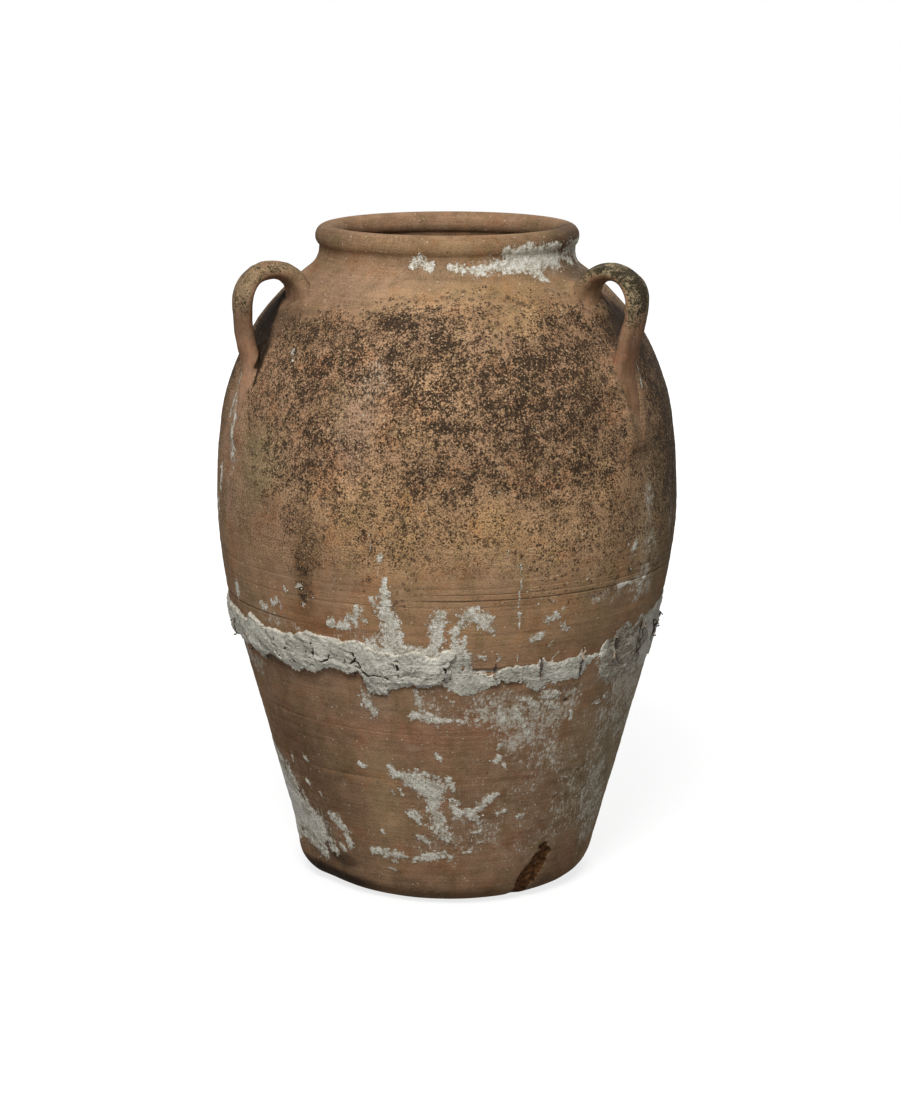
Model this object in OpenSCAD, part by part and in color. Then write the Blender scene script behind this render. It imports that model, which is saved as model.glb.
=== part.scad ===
// Old terracotta olive jar with three strap handles. It once broke in two round the belly
// and was mended: twisted wire ties through drilled holes hold the halves together, and
// lime mortar beds and seals the break. Millimetres, +Z up, origin at the middle of the
// foot. An azimuth is counted from the front (-Y) towards +X.

/* [Body] */
// Height from the foot to the top of the rim
jar_h = 714; // [680:1:760]
// Flat radius of the foot, inside its rounded heel
foot_r = 128; // [110:1:145]
// Radius of the rounded heel
heel_round = 36; // [24:1:48]
// Radius of the belly at its widest
belly_r = 250.5; // [235:0.5:270]
// Height of the widest part of the belly
belly_z = 424; // [405:1:440]
// Radius of the upright curve below the belly line
belly_round_low = 530; // [450:5:650]
// Radius of the upright curve above the belly line
belly_round_up = 605; // [500:5:750]
// Radius of the upright curve of the shoulder
shoulder_round = 241; // [225:1:255]
// Thickness of the clay wall and floor
wall_t = 13; // [9:0.5:18]

/* [Neck and rim] */
// Outer radius of the neck at its narrowest
neck_r = 137; // [130:0.5:145]
// Radius of the hollow curve where the shoulder turns into the neck
neck_round = 25; // [18:1:32]
// Outermost radius of the rolled rim
rim_r = 141.5; // [138:0.5:146]
// Thickness of the rolled rim
rim_roll_d = 24; // [20:0.5:28]

/* [Incised lines] */
// Height of the lowest line above the break
line_rise = 71; // [60:1:90]
// Distance between neighbouring lines
line_pitch = 6.5; // [4:0.5:10]
// Number of lines
line_count = 4; // [1:1:6]
// Depth and width of a line
line_d = 1.6; // [0.8:0.1:2.4]

/* [Handles] */
// Azimuth of the left handle; the others follow at a third of a turn
handle_az = -64; // [-75:1:-50]
// Radius of the arch, along the middle of the strap
arch_round = 32; // [26:1:36]
// Drop from the narrowest neck to the middle of the arch
arch_drop = 47; // [42:1:54]
// How far the middle of the strap stays inside the belly's radius
strap_inset = 14.5; // [8:0.5:20]
// Radius of the long curve that the strap comes down on
leg_round = 200; // [160:5:300]
// Width of the strap
strap_w = 38; // [30:1:44]
// Thickness of the strap
strap_t = 17; // [13:0.5:20]
// Radius of the hollow curve where the strap runs down onto the shoulder
tail_round = 50; // [30:1:70]
// How much wider the strap is thumbed out where it joins the shoulder
root_flare = 15; // [4:1:20]
// Length of the thumbed tail that is smeared down the shoulder
tail_l = 58; // [30:1:62]

/* [Break and mortar] */
// Height of the break round the body
break_z = 281; // [260:1:300]
// Thickness of the mortar bed between the two halves
bed_t = 3; // [2:0.5:5]
// Thickness of the mortar laid over the break outside, at a full daub
daub_t = 7; // [4.5:0.5:9]
// How far the mortar outside reaches past the drilled holes, at a full daub
daub_past = 9.5; // [8:0.5:14]
// Thickness of the mortar fillet inside
fillet_t = 5; // [3.5:0.5:8]
// Height of the mortar fillet inside
fillet_h = 56; // [48:1:70]

/* [Wire ties] */
// Number of wire ties round the break
tie_count = 29; // [20:1:32]
// Azimuth of the first tie
tie_az = -0.4; // [-6:0.1:6]
// Distance between the two drilled holes of a tie
hole_span = 33; // [28:0.5:36]
// Diameter of a drilled hole
hole_d = 4; // [3.4:0.1:5]
// Diameter of the wire
wire_d = 1.6; // [1.2:0.1:1.8]
// Turns of the twist outside
twist_turns = 2; // [1:1:2]

/* [Hidden] */
TIES = [for (i = [1:tie_count]) str("wire_tie_", i < 10 ? "0" : "", i)];

clay = [0.62, 0.42, 0.30];
clay_dark = [0.50, 0.35, 0.27];
mortar = [0.72, 0.71, 0.66];
rust = [0.27, 0.18, 0.13];

turn_fn = 144;           // sides of the round shells
fit_fn = 360;            // sides of the pot that other pieces are fitted to
daub_fn = 90;            // sections of the mortar outside, all the way round
seat_gap = 0.2;          // room between a wire and the clay beside it
slot_side = 3;           // room that the mortar leaves on each side of a tie
slot_end = 0.5;          // room that it leaves past each drilled hole
slot_w = wire_d + 2 * slot_side;
slot_l = hole_span + hole_d + 2 * slot_end;

// Rim and neck heights follow the height of the jar
roll_z = jar_h - rim_roll_d / 2;
neck_z = roll_z - rim_roll_d / 2;
roll_r = rim_r - rim_roll_d / 2;

// Centres of the curves that the wall runs along, each touching the next
heel_c = [foot_r, heel_round];
low_c = [belly_r - belly_round_low, belly_z];
up_c = [belly_r - belly_round_up, belly_z];
neck_c = [neck_r + neck_round, neck_z];
shoulder_c = meet(up_c, belly_round_up - shoulder_round, neck_c, shoulder_round + neck_round);

// The straight wall touches the heel and the lower belly curve
wall_step = low_c - heel_c;
wall_lean = acos((heel_round - belly_round_low) / norm(wall_step))
            - atan2(wall_step[1], wall_step[0]);
straight_top = low_c + belly_round_low * [cos(wall_lean), -sin(wall_lean)];
up_turn = atan2(shoulder_c[1] - up_c[1], shoulder_c[0] - up_c[0]);
neck_turn = atan2(neck_c[1] - shoulder_c[1], neck_c[0] - shoulder_c[0]);

// Point at distances r1 and r2 from c1 and c2, on the side nearer the foot
function meet(c1, r1, c2, r2) =
    let (d = norm(c2 - c1), along = (c2 - c1) / d,
         a = (r1 * r1 - r2 * r2 + d * d) / (2 * d), h = sqrt(r1 * r1 - a * a))
    c1 + a * along + h * [-along[1], along[0]] * (along[0] < 0 ? 1 : -1);

function arc(c, r, from, to, steps) =
    [for (i = [0:steps]) let (a = from + (to - from) * i / steps) c + r * [cos(a), sin(a)]];

function backwards(list) = [for (i = [len(list) - 1:-1:0]) list[i]];

// The wall's line from the floor to the neck, set in from the outside by inset
function wall_line(inset) = concat(
    arc(heel_c, heel_round - inset, -90, -wall_lean, 8),
    arc(low_c, belly_round_low - inset, -wall_lean, 0, 8),
    arc(up_c, belly_round_up - inset, up_turn / 3, up_turn, 2),
    arc(shoulder_c, shoulder_round - inset, up_turn + 4, neck_turn, 12),
    arc(neck_c, neck_round + inset, 180 + neck_turn - 8, 180, 6),
    [[neck_r - inset, roll_z]]);

// Outer radius and lean of the wall at a height below the belly line
function low_r(z) = z > straight_top[1]
    ? low_c[0] + sqrt(pow(belly_round_low, 2) - pow(z - belly_z, 2))
    : straight_top[0] - (straight_top[1] - z) * tan(wall_lean);
function low_lean(z) = z > straight_top[1] ? asin((belly_z - z) / belly_round_low) : wall_lean;

// Outer radius of the shoulder at a height
function shoulder_r(z) = shoulder_c[0] + sqrt(pow(shoulder_round, 2) - pow(z - shoulder_c[1], 2));

break_r = low_r(break_z);
break_lean = low_lean(break_z);
tie_step = 360 / tie_count;

// Section of the whole pot, foot to rim
module pot_section() {
    polygon(concat([[0, 0]], wall_line(0), backwards(wall_line(wall_t)), [[0, wall_t]]));
    translate([roll_r, roll_z]) circle(d = rim_roll_d, $fn = 48);
}

// The pot as if it were solid, which the handles and the mortar are fitted to
module pot_outside() {
    rotate_extrude($fn = fit_fn) polygon(concat([[0, 0]], wall_line(0), [[0, roll_z]]));
}

// Turns a piece from the +X side to an azimuth
module to_azimuth(az) rotate([0, 0, az - 90]) children();

// Sets a piece on the wall at the break: X outwards, Y along the break, Z up the wall
module on_break(az)
    to_azimuth(az) translate([break_r, 0, break_z]) rotate([0, break_lean, 0]) children();

module tie_holes() {
    for (i = [0:tie_count - 1], side = [-1, 1])
        on_break(tie_az + i * tie_step) translate([-1.5 * wall_t, 0, side * hole_span / 2])
            rotate([0, 90, 0]) cylinder(d = hole_d, h = 2 * wall_t, $fn = 24);
}

module incised_lines() {
    for (i = [0:line_count - 1])
        let (z = break_z + line_rise + i * line_pitch)
            translate([0, 0, z]) rotate_extrude($fn = turn_fn)
                translate([low_r(z), 0]) circle(d = line_d, $fn = 16);
}

module lower_body() color(clay_dark) difference() {
    rotate_extrude($fn = turn_fn) intersection() {
        pot_section();
        square([2 * belly_r, break_z - bed_t / 2]);
    }
    tie_holes();
}

module upper_body() color(clay) difference() {
    rotate_extrude($fn = turn_fn) intersection() {
        pot_section();
        translate([0, break_z + bed_t / 2]) square([2 * belly_r, jar_h]);
    }
    tie_holes();
    incised_lines();
}

module joint_bed() color(mortar) rotate_extrude($fn = turn_fn) intersection() {
    pot_section();
    translate([0, break_z - bed_t / 2]) square([2 * belly_r, bed_t]);
}

// Handles: a strap section swept up from the shoulder, over an arch and down to a tail
arch_c = [belly_r - strap_inset - arch_round, neck_z - arch_drop];
leg_c = [belly_r - strap_inset - leg_round, arch_c[1]];
arch_start = 215;        // the strap starts below the skin of the shoulder
tail_w = 18;             // width where the tail fades out
tail_sunk = 0.1;         // share of the strap's thickness that its middle lies under the skin
tail_c = meet(shoulder_c, shoulder_round - tail_sunk * strap_t + tail_round,
              leg_c, leg_round + tail_round);
leg_turn = atan2(tail_c[1] - leg_c[1], tail_c[0] - leg_c[0]);
tail_turn = atan2(tail_c[1] - shoulder_c[1], tail_c[0] - shoulder_c[0]);

// Over the arch, down the leg, through a hollow curve and on down the shoulder
function strap_path() = concat(
    arc(arch_c, arch_round, arch_start, 0, 12),
    arc(leg_c, leg_round, leg_turn / 4, leg_turn, 3),
    arc(tail_c, tail_round, 180 + 0.75 * leg_turn + 0.25 * tail_turn, 180 + tail_turn, 3),
    [for (i = [1:5]) let (a = tail_turn - i / 5 * tail_l / shoulder_round * 180 / PI)
        shoulder_c + (shoulder_round - strap_t * (tail_sunk + 0.085 * i)) * [cos(a), sin(a)]]);

// Width and thickness of the strap at share s of its way
function fade(s, from, to) = let (t = min(1, max(0, (s - from) / (to - from)))) t * t * (3 - 2 * t);
function strap_wide(s) = strap_w + root_flare * (1 - fade(s, 0, 0.32))
    + root_flare / 2 * (fade(s, 0.5, 0.72) - fade(s, 0.72, 0.9))
    - (strap_w - tail_w) * fade(s, 0.74, 1);
function strap_thick(s) = strap_t * (1 + 0.4 * (1 - fade(s, 0, 0.3)));

// Rounded strap section with nearly flat faces
strap_sides = 16;
function strap_ring(at, along, wide, thick) = [for (k = [0:strap_sides - 1])
    let (a = 360 * k / strap_sides,
         across = wide / 2 * sign(cos(a)) * pow(abs(cos(a)), 0.8),
         out = thick / 2 * sign(sin(a)) * pow(abs(sin(a)), 0.9))
    [at[0] - along[1] * out, across, at[1] + along[0] * out]];

// Faces of a tube whose points are rings, one after another
function tube_faces(rings, sides) = concat(
    [[for (k = [0:sides - 1]) k]],
    [for (i = [0:rings - 2], k = [0:sides - 1])
        let (a = i * sides + k, b = i * sides + (k + 1) % sides) [b, a, a + sides]],
    [for (i = [0:rings - 2], k = [0:sides - 1])
        let (a = i * sides + k, b = i * sides + (k + 1) % sides) [b, a + sides, b + sides]],
    [[for (k = [sides - 1:-1:0]) (rings - 1) * sides + k]]);

function unit(v) = v / norm(v);
function heading(p, i) = unit(p[min(i + 1, len(p) - 1)] - p[max(i - 1, 0)]);

module handle(az) color(clay) difference() {
    path = strap_path();
    last = len(path) - 1;
    to_azimuth(az) polyhedron(
        points = [for (i = [0:last], q = strap_ring(path[i], heading(path, i),
                                                    strap_wide(i / last), strap_thick(i / last))) q],
        faces = tube_faces(last + 1, strap_sides));
    pot_outside();
}

module handle_left() handle(handle_az);
module handle_right() handle(handle_az + 120);
module handle_back() handle(handle_az + 240);

// Hand-laid mortar outside: its reach above and below the break and its thickness, as
// shares of a full daub, at azimuths all the way round
daubs = [[-180, 1.0, 1.0, 0.8], [-150, 1.15, 1.08, 1.1], [-120, 0.96, 0.96, 0.7],
         [-95, 1.04, 1.04, 0.9], [-72, 0.96, 0.96, 0.8], [-62, 1.2, 1.04, 1.1],
         [-52, 1.0, 0.93, 0.9], [-38, 1.15, 0.96, 1.0], [-28, 1.12, 0.93, 1.0],
         [-18, 0.96, 1.15, 1.1], [-8, 1.04, 0.96, 1.0], [3, 1.0, 0.93, 0.6],
         [8, 0.15, 0.96, 0.4], [16, 0.12, 0.93, 0.6], [24, 0.23, 1.08, 0.5],
         [34, 0.19, 0.96, 0.4], [41, 0.31, 0.96, 0.4], [46, 1.0, 1.08, 0.6],
         [62, 1.0, 1.04, 0.7], [75, 1.12, 1.08, 0.9], [100, 1.0, 0.96, 1.0],
         [130, 1.15, 1.04, 0.8], [155, 1.04, 0.96, 1.0], [180, 1.0, 1.0, 0.8]];
function daub(az, column) = lookup(az, [for (d = daubs) [d[0], d[column]]]);

daub_bite = 0.6 * daub_t;                // how deep the sections start under the skin of the pot
daub_reach = hole_span / 2 + daub_past;  // from the break to the edge of a full daub
function daub_edge(az, column) =
    daub_reach * (daub(az, column) + 0.055 * sin(13 * az) + 0.04 * sin(37 * az + 40));
function daub_thick(az) = daub_t * max(0.3, daub(az, 3) + 0.13 * sin(29 * az));

// Section of the mortar: distance out from the wall, distance up it
function daub_section(az) =
    let (top = daub_edge(az, 1), low = -daub_edge(az, 2), t = daub_thick(az))
    [[-daub_bite, low], [0.35 * t, low], [0.8 * t, low + 0.15 * (top - low)],
     [t, (top + low) / 2], [0.75 * t, top - 0.15 * (top - low)], [0.3 * t, top], [-daub_bite, top]];

module outer_mortar() color(mortar) {
    stations = [for (i = [0:daub_fn - 1]) 360 * i / daub_fn - 180];
    side = len(daub_section(0));
    out = [cos(break_lean), -sin(break_lean)];
    up = [sin(break_lean), cos(break_lean)];
    difference() {
        polyhedron(
            points = [for (az = stations, q = daub_section(az))
                let (p = [break_r, break_z] + q[0] * out + q[1] * up)
                [p[0] * sin(az), -p[0] * cos(az), p[1]]],
            faces = [for (i = [0:daub_fn - 1], k = [0:side - 1], half = [0, 1])
                let (j = (i + 1) % daub_fn, a = i * side + k, b = i * side + (k + 1) % side,
                     c = j * side + k, d = j * side + (k + 1) % side)
                half == 0 ? [a, b, c] : [b, d, c]]);
        pot_outside();
        for (i = [0:tie_count - 1]) on_break(tie_az + i * tie_step)
            translate([-daub_bite, -slot_w / 2, -slot_l / 2])
                cube([daub_bite + 2 * daub_t, slot_w, slot_l]);
    }
}

module inner_mortar() color(mortar) difference() {
    rotate_extrude($fn = turn_fn) difference() {
        intersection() {
            polygon(concat([[0, wall_t]], wall_line(wall_t), [[0, roll_z]]));
            translate([0, break_z - fillet_h / 2]) square([2 * belly_r, fillet_h]);
        }
        polygon(concat([[0, wall_t]], wall_line(wall_t + fillet_t), [[0, roll_z]]));
    }
    for (i = [0:tie_count - 1]) on_break(tie_az + i * tie_step)
        translate([-wall_t - 2 * fillet_t, -slot_w / 2, -slot_l / 2])
            cube([3 * fillet_t, slot_w, slot_l]);
}

// Wire ties: one wire in through the upper hole, down the inside and out through the
// lower hole, with its two ends twisted round each other over the break outside
tie_sides = 5;
twist_steps = 5 * twist_turns;
strand_off = wire_d / 2 + 0.05;                      // strand to the middle of the twist
twist_out = strand_off + wire_d / 2 + seat_gap;      // middle of the twist to the wall
twist_half = hole_span / 2 - 1.5 * wire_d;           // half the length of the twist
inside_x = -wall_t - wire_d / 2 - seat_gap;
bend = 1.2 * wire_d;                                 // cut-off corner of a bend

function strand(phase, i) =
    let (a = phase + 360 * twist_turns * i / twist_steps)
    [twist_out + strand_off * cos(a), strand_off * sin(a),
     twist_half * (2 * i / twist_steps - 1)];

function tie_path() = let (h = hole_span / 2) concat(
    [[3.2 * wire_d, -1.4 * wire_d, -h - 0.6 * wire_d], [twist_out + 1.4 * wire_d, -0.6 * wire_d, -h]],
    [for (i = [0:twist_steps]) strand(0, i)],
    [[twist_out + strand_off - 0.4, 0, h - 0.3], [0, 0, h], [inside_x + bend, 0, h],
     [inside_x, 0, h - bend], [inside_x, 0, bend - h], [inside_x + bend, 0, -h],
     [-bend / 2, 0, -h], [wire_d / 2 + seat_gap, 0, 0.9 * wire_d - h]],
    [for (i = [1:twist_steps - 1]) strand(180, i)],
    [strand(180, twist_steps) - [0, 0, 1.2 * wire_d]]);

// Carries a cross direction along a path without twisting it
function carried(p) = [for (i = 0, u = unit(cross(heading(p, 0), [0, 1, 0.3])); i < len(p);
    i = i + 1, u = i < len(p) ? let (t = heading(p, i)) unit(u - (u * t) * t) : u) u];

module tie(az) color(rust) {
    path = tie_path();
    cross_dir = carried(path);
    on_break(az) polyhedron(
        points = [for (i = [0:len(path) - 1], k = [0:tie_sides - 1])
            let (a = 360 * k / tie_sides, u = cross_dir[i], v = cross(heading(path, i), u))
            path[i] + wire_d / 2 * (u * cos(a) + v * sin(a))],
        faces = tube_faces(len(path), tie_sides));
}

lower_body();
upper_body();
handle_left();
handle_right();
handle_back();
joint_bed();
outer_mortar();
inner_mortar();
for (i = [0:tie_count - 1]) tie(tie_az + i * tie_step);
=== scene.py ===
import math

import bpy
import numpy as np
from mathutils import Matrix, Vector, kdtree, noise


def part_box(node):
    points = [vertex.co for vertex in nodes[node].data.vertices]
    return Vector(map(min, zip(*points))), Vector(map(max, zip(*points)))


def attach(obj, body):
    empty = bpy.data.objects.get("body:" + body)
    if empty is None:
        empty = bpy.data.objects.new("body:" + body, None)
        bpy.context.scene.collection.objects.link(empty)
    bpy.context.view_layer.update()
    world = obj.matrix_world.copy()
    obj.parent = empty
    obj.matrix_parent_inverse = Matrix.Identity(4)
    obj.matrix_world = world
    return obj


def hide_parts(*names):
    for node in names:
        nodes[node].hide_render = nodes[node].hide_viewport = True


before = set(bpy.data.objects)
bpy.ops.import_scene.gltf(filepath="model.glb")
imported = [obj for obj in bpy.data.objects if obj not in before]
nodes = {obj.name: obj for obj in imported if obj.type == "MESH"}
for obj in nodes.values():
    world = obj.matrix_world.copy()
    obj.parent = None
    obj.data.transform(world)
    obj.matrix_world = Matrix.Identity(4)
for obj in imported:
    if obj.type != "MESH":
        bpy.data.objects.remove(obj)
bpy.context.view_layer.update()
mm = 0.001
chance = np.random.default_rng(7)

# Lengths are in metres. An azimuth is in degrees from the front (-Y), growing towards +X.
jar = {
    "height": 714 * mm,
    "footRadius": 128 * mm,
    "heelRound": 36 * mm,
    "bellyRadius": 250.5 * mm,
    "bellyHeight": 424 * mm,
    "lowCurve": 530 * mm,
    "highCurve": 605 * mm,
    "shoulderCurve": 241 * mm,
    "neckRadius": 137 * mm,
    "neckCurve": 25 * mm,
    "rimRadius": 141.5 * mm,
    "rimRoll": 24 * mm,
    "wall": 13 * mm,
    "breakHeight": 281 * mm,
    "bed": 3 * mm,
}


# Shape of the wall, the same for every piece

def circlesMeet(c1, r1, c2, r2):
    gap = np.linalg.norm(c2 - c1)
    along = (c2 - c1) / gap
    a = (r1 * r1 - r2 * r2 + gap * gap) / (2 * gap)
    side = math.sqrt(r1 * r1 - a * a) * (1 if along[0] < 0 else -1)
    return c1 + a * along + side * np.array([-along[1], along[0]])


def arcPoints(centre, radius, start, end, steps):
    turns = np.linspace(start, end, steps + 1)
    return np.stack([centre[0] + radius * np.cos(turns), centre[1] + radius * np.sin(turns)], 1)


def angleOf(step):
    return math.atan2(step[1], step[0])


neckHeight = jar["height"] - jar["rimRoll"]
rollHeight = jar["height"] - jar["rimRoll"] / 2
rollRadius = jar["rimRadius"] - jar["rimRoll"] / 2
heelAt = np.array([jar["footRadius"], jar["heelRound"]])
lowAt = np.array([jar["bellyRadius"] - jar["lowCurve"], jar["bellyHeight"]])
highAt = np.array([jar["bellyRadius"] - jar["highCurve"], jar["bellyHeight"]])
neckAt = np.array([jar["neckRadius"] + jar["neckCurve"], neckHeight])
shoulderAt = circlesMeet(highAt, jar["highCurve"] - jar["shoulderCurve"],
                         neckAt, jar["shoulderCurve"] + jar["neckCurve"])
wallStep = lowAt - heelAt
wallLean = math.acos((jar["heelRound"] - jar["lowCurve"]) / np.linalg.norm(wallStep)) - angleOf(wallStep)


def wallLine(inset):
    # From the foot to the neck, set in from the outside by inset
    highTurn = angleOf(shoulderAt - highAt)
    neckTurn = angleOf(neckAt - shoulderAt)
    return np.concatenate([
        arcPoints(heelAt, jar["heelRound"] - inset, -math.pi / 2, -wallLean, 40),
        arcPoints(lowAt, jar["lowCurve"] - inset, -wallLean, 0, 60)[1:],
        arcPoints(highAt, jar["highCurve"] - inset, 0, highTurn, 30)[1:],
        arcPoints(shoulderAt, jar["shoulderCurve"] - inset, highTurn, neckTurn, 90)[1:],
        arcPoints(neckAt, jar["neckCurve"] + inset, math.pi + neckTurn, math.pi, 30)[1:]])


outside = wallLine(0)
inside = wallLine(jar["wall"])


def outerRadius(z):
    return np.interp(z, outside[:, 1], outside[:, 0])


def innerRadius(z):
    return np.interp(z, inside[:, 1], inside[:, 0])


def outwards(z):
    # Radial and upward share of the wall's outward direction
    slope = (outerRadius(z + mm) - outerRadius(z - mm)) / (2 * mm)
    size = np.hypot(1, slope)
    return 1 / size, -slope / size


def placed(azimuth, radius, z):
    turn = np.radians(azimuth)
    return np.stack([radius * np.sin(turn), -radius * np.cos(turn), z + 0 * turn], -1)


def onSkin(azimuth, z, out):
    acrossShare, upShare = outwards(z)
    return placed(azimuth, outerRadius(z) + out * acrossShare, z + out * upShare)


def azimuthOf(points):
    return np.degrees(np.arctan2(points[..., 0], -points[..., 1]))


def offAzimuth(azimuth, centre):
    return (azimuth - centre + 180) % 360 - 180


def smooth(value, start, end):
    t = np.clip((value - start) / (end - start), 0, 1)
    return t * t * (3 - 2 * t)


def fuzz(points, size, octaves=3, shift=0.0):
    offset = Vector((shift, 1.7 * shift, -shift))
    flat = points.reshape(-1, 3) / size
    values = [noise.fractal(Vector(p) + offset, 1.0, 2.0, octaves) for p in flat]
    return np.array(values).reshape(points.shape[:-1])


# How the thrown wall differs from a true round
skin = {
    "ringDepth": 0.35 * mm,
    "lumps": 0.9 * mm,
    "oval": 1.1 * mm,
    "threeSided": 0.7 * mm,
    "slump": 3 * mm,          # how far the upper half sits to the left at the break
    "slumpReach": 60 * mm,
}
# Lines cut or pressed in while the jar turned: height and depth in mm, azimuths where they fade in and out
grooves = [(371, 0.3, -180, 180), (365, 0.5, -14, 180), (358.5, 0.75, -14, 180), (351.5, 0.3, -180, 180),
           (323, 0.7, -120, -34), (207, 0.3, -70, 60), (150, 0.3, -90, -10), (684, 0.35, -180, 180)]
# Dents: azimuth, height, half across and depth in mm
dents = [(-50, 440, 6, 1.3), (5, 402, 5, -0.7), (-56, 208, 3, 1.2), (-30, 150, 6, 0.6), (66, 505, 8, 1.0), (-8, 118, 5, 0.8),
         (-74, 26, 24, -6), (-64, 16, 18, -3)]


def slumpAt(azimuth, z):
    fade = np.exp(-np.clip(z - jar["breakHeight"], 0, None) / skin["slumpReach"])
    return skin["slump"] * fade * np.sin(np.radians(azimuth))


def skinRelief(azimuth, z, above):
    # How far the skin stands off the turned shape; above is 1 for the upper half and 0 for the lower
    relief = skin["lumps"] * fuzz(placed(azimuth, outerRadius(z), z), 70 * mm, 3, 2.2)
    relief += skin["ringDepth"] * fuzz(np.stack([0 * z, 0 * z, z], -1), 7 * mm, 3)
    relief += skin["oval"] * np.sin(np.radians(2 * azimuth + 40))
    relief += skin["threeSided"] * np.sin(np.radians(3 * azimuth - 20))
    relief -= above * slumpAt(azimuth, z)
    for turn, height, half, deep in dents:
        away = np.hypot(np.radians(offAzimuth(azimuth, turn)) * outerRadius(z) / mm, z / mm - height)
        relief -= deep * mm * np.exp(-(away / half) ** 2)
    fade = smooth(z, 0, 12 * mm) * (1 - smooth(z, neckHeight - 4 * mm, neckHeight + 4 * mm))
    return relief * (0.25 + 0.75 * fade)


# Marks on the clay, listed one by one

def wander(azimuth, z):
    # Marks are looked up at places that wander to and fro, which frays their edges
    points = placed(azimuth, outerRadius(z), z)
    across = 5.5 * fuzz(points, 24 * mm, 3, 5.3) + 2.4 * fuzz(points, 8 * mm, 2, 9.1)
    up = 5.5 * fuzz(points, 24 * mm, 3, 7.9) + 2.4 * fuzz(points, 8 * mm, 2, 3.3)
    return azimuth + np.degrees(across * mm / outerRadius(z)), z + up * mm


def strokeField(azimuth, z, strokes, widen=0.0, base=-3.0):
    # Each stroke: azimuth and height in mm at both ends, half its width in mm.
    # The field is 0 at a stroke's edge, 1 where the fraying ends inside it and -1 outside.
    field = np.full(azimuth.shape, base)
    reach = outerRadius(z) / mm
    for startTurn, startHeight, endTurn, endHeight, half in strokes:
        half = half * (1 + widen)
        fray = min(max(0.75 * half, 0.9), 5)
        x = np.radians(offAzimuth(azimuth, startTurn)) * reach
        y = z / mm - startHeight
        dx = np.radians(endTurn - startTurn) * reach
        dy = endHeight - startHeight
        t = np.clip((x * dx + y * dy) / (dx * dx + dy * dy + 1e-9), 0, 1)
        away = np.hypot(x - t * dx, y - t * dy)
        field = np.maximum(field, (half - away) / fray)
    return np.clip(field, base, 3)


def patchField(azimuth, z, patches):
    # Each patch is broad and soft: azimuth, height in mm, half size in degrees and in mm, strength
    left = np.ones_like(azimuth)
    for turn, height, wide, tall, strength in patches:
        away = np.hypot(offAzimuth(azimuth, turn) / wide, (z / mm - height) / tall)
        left *= 1 - strength * (1 - smooth(away, 0.35, 1.25))
    return 1 - left


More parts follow.
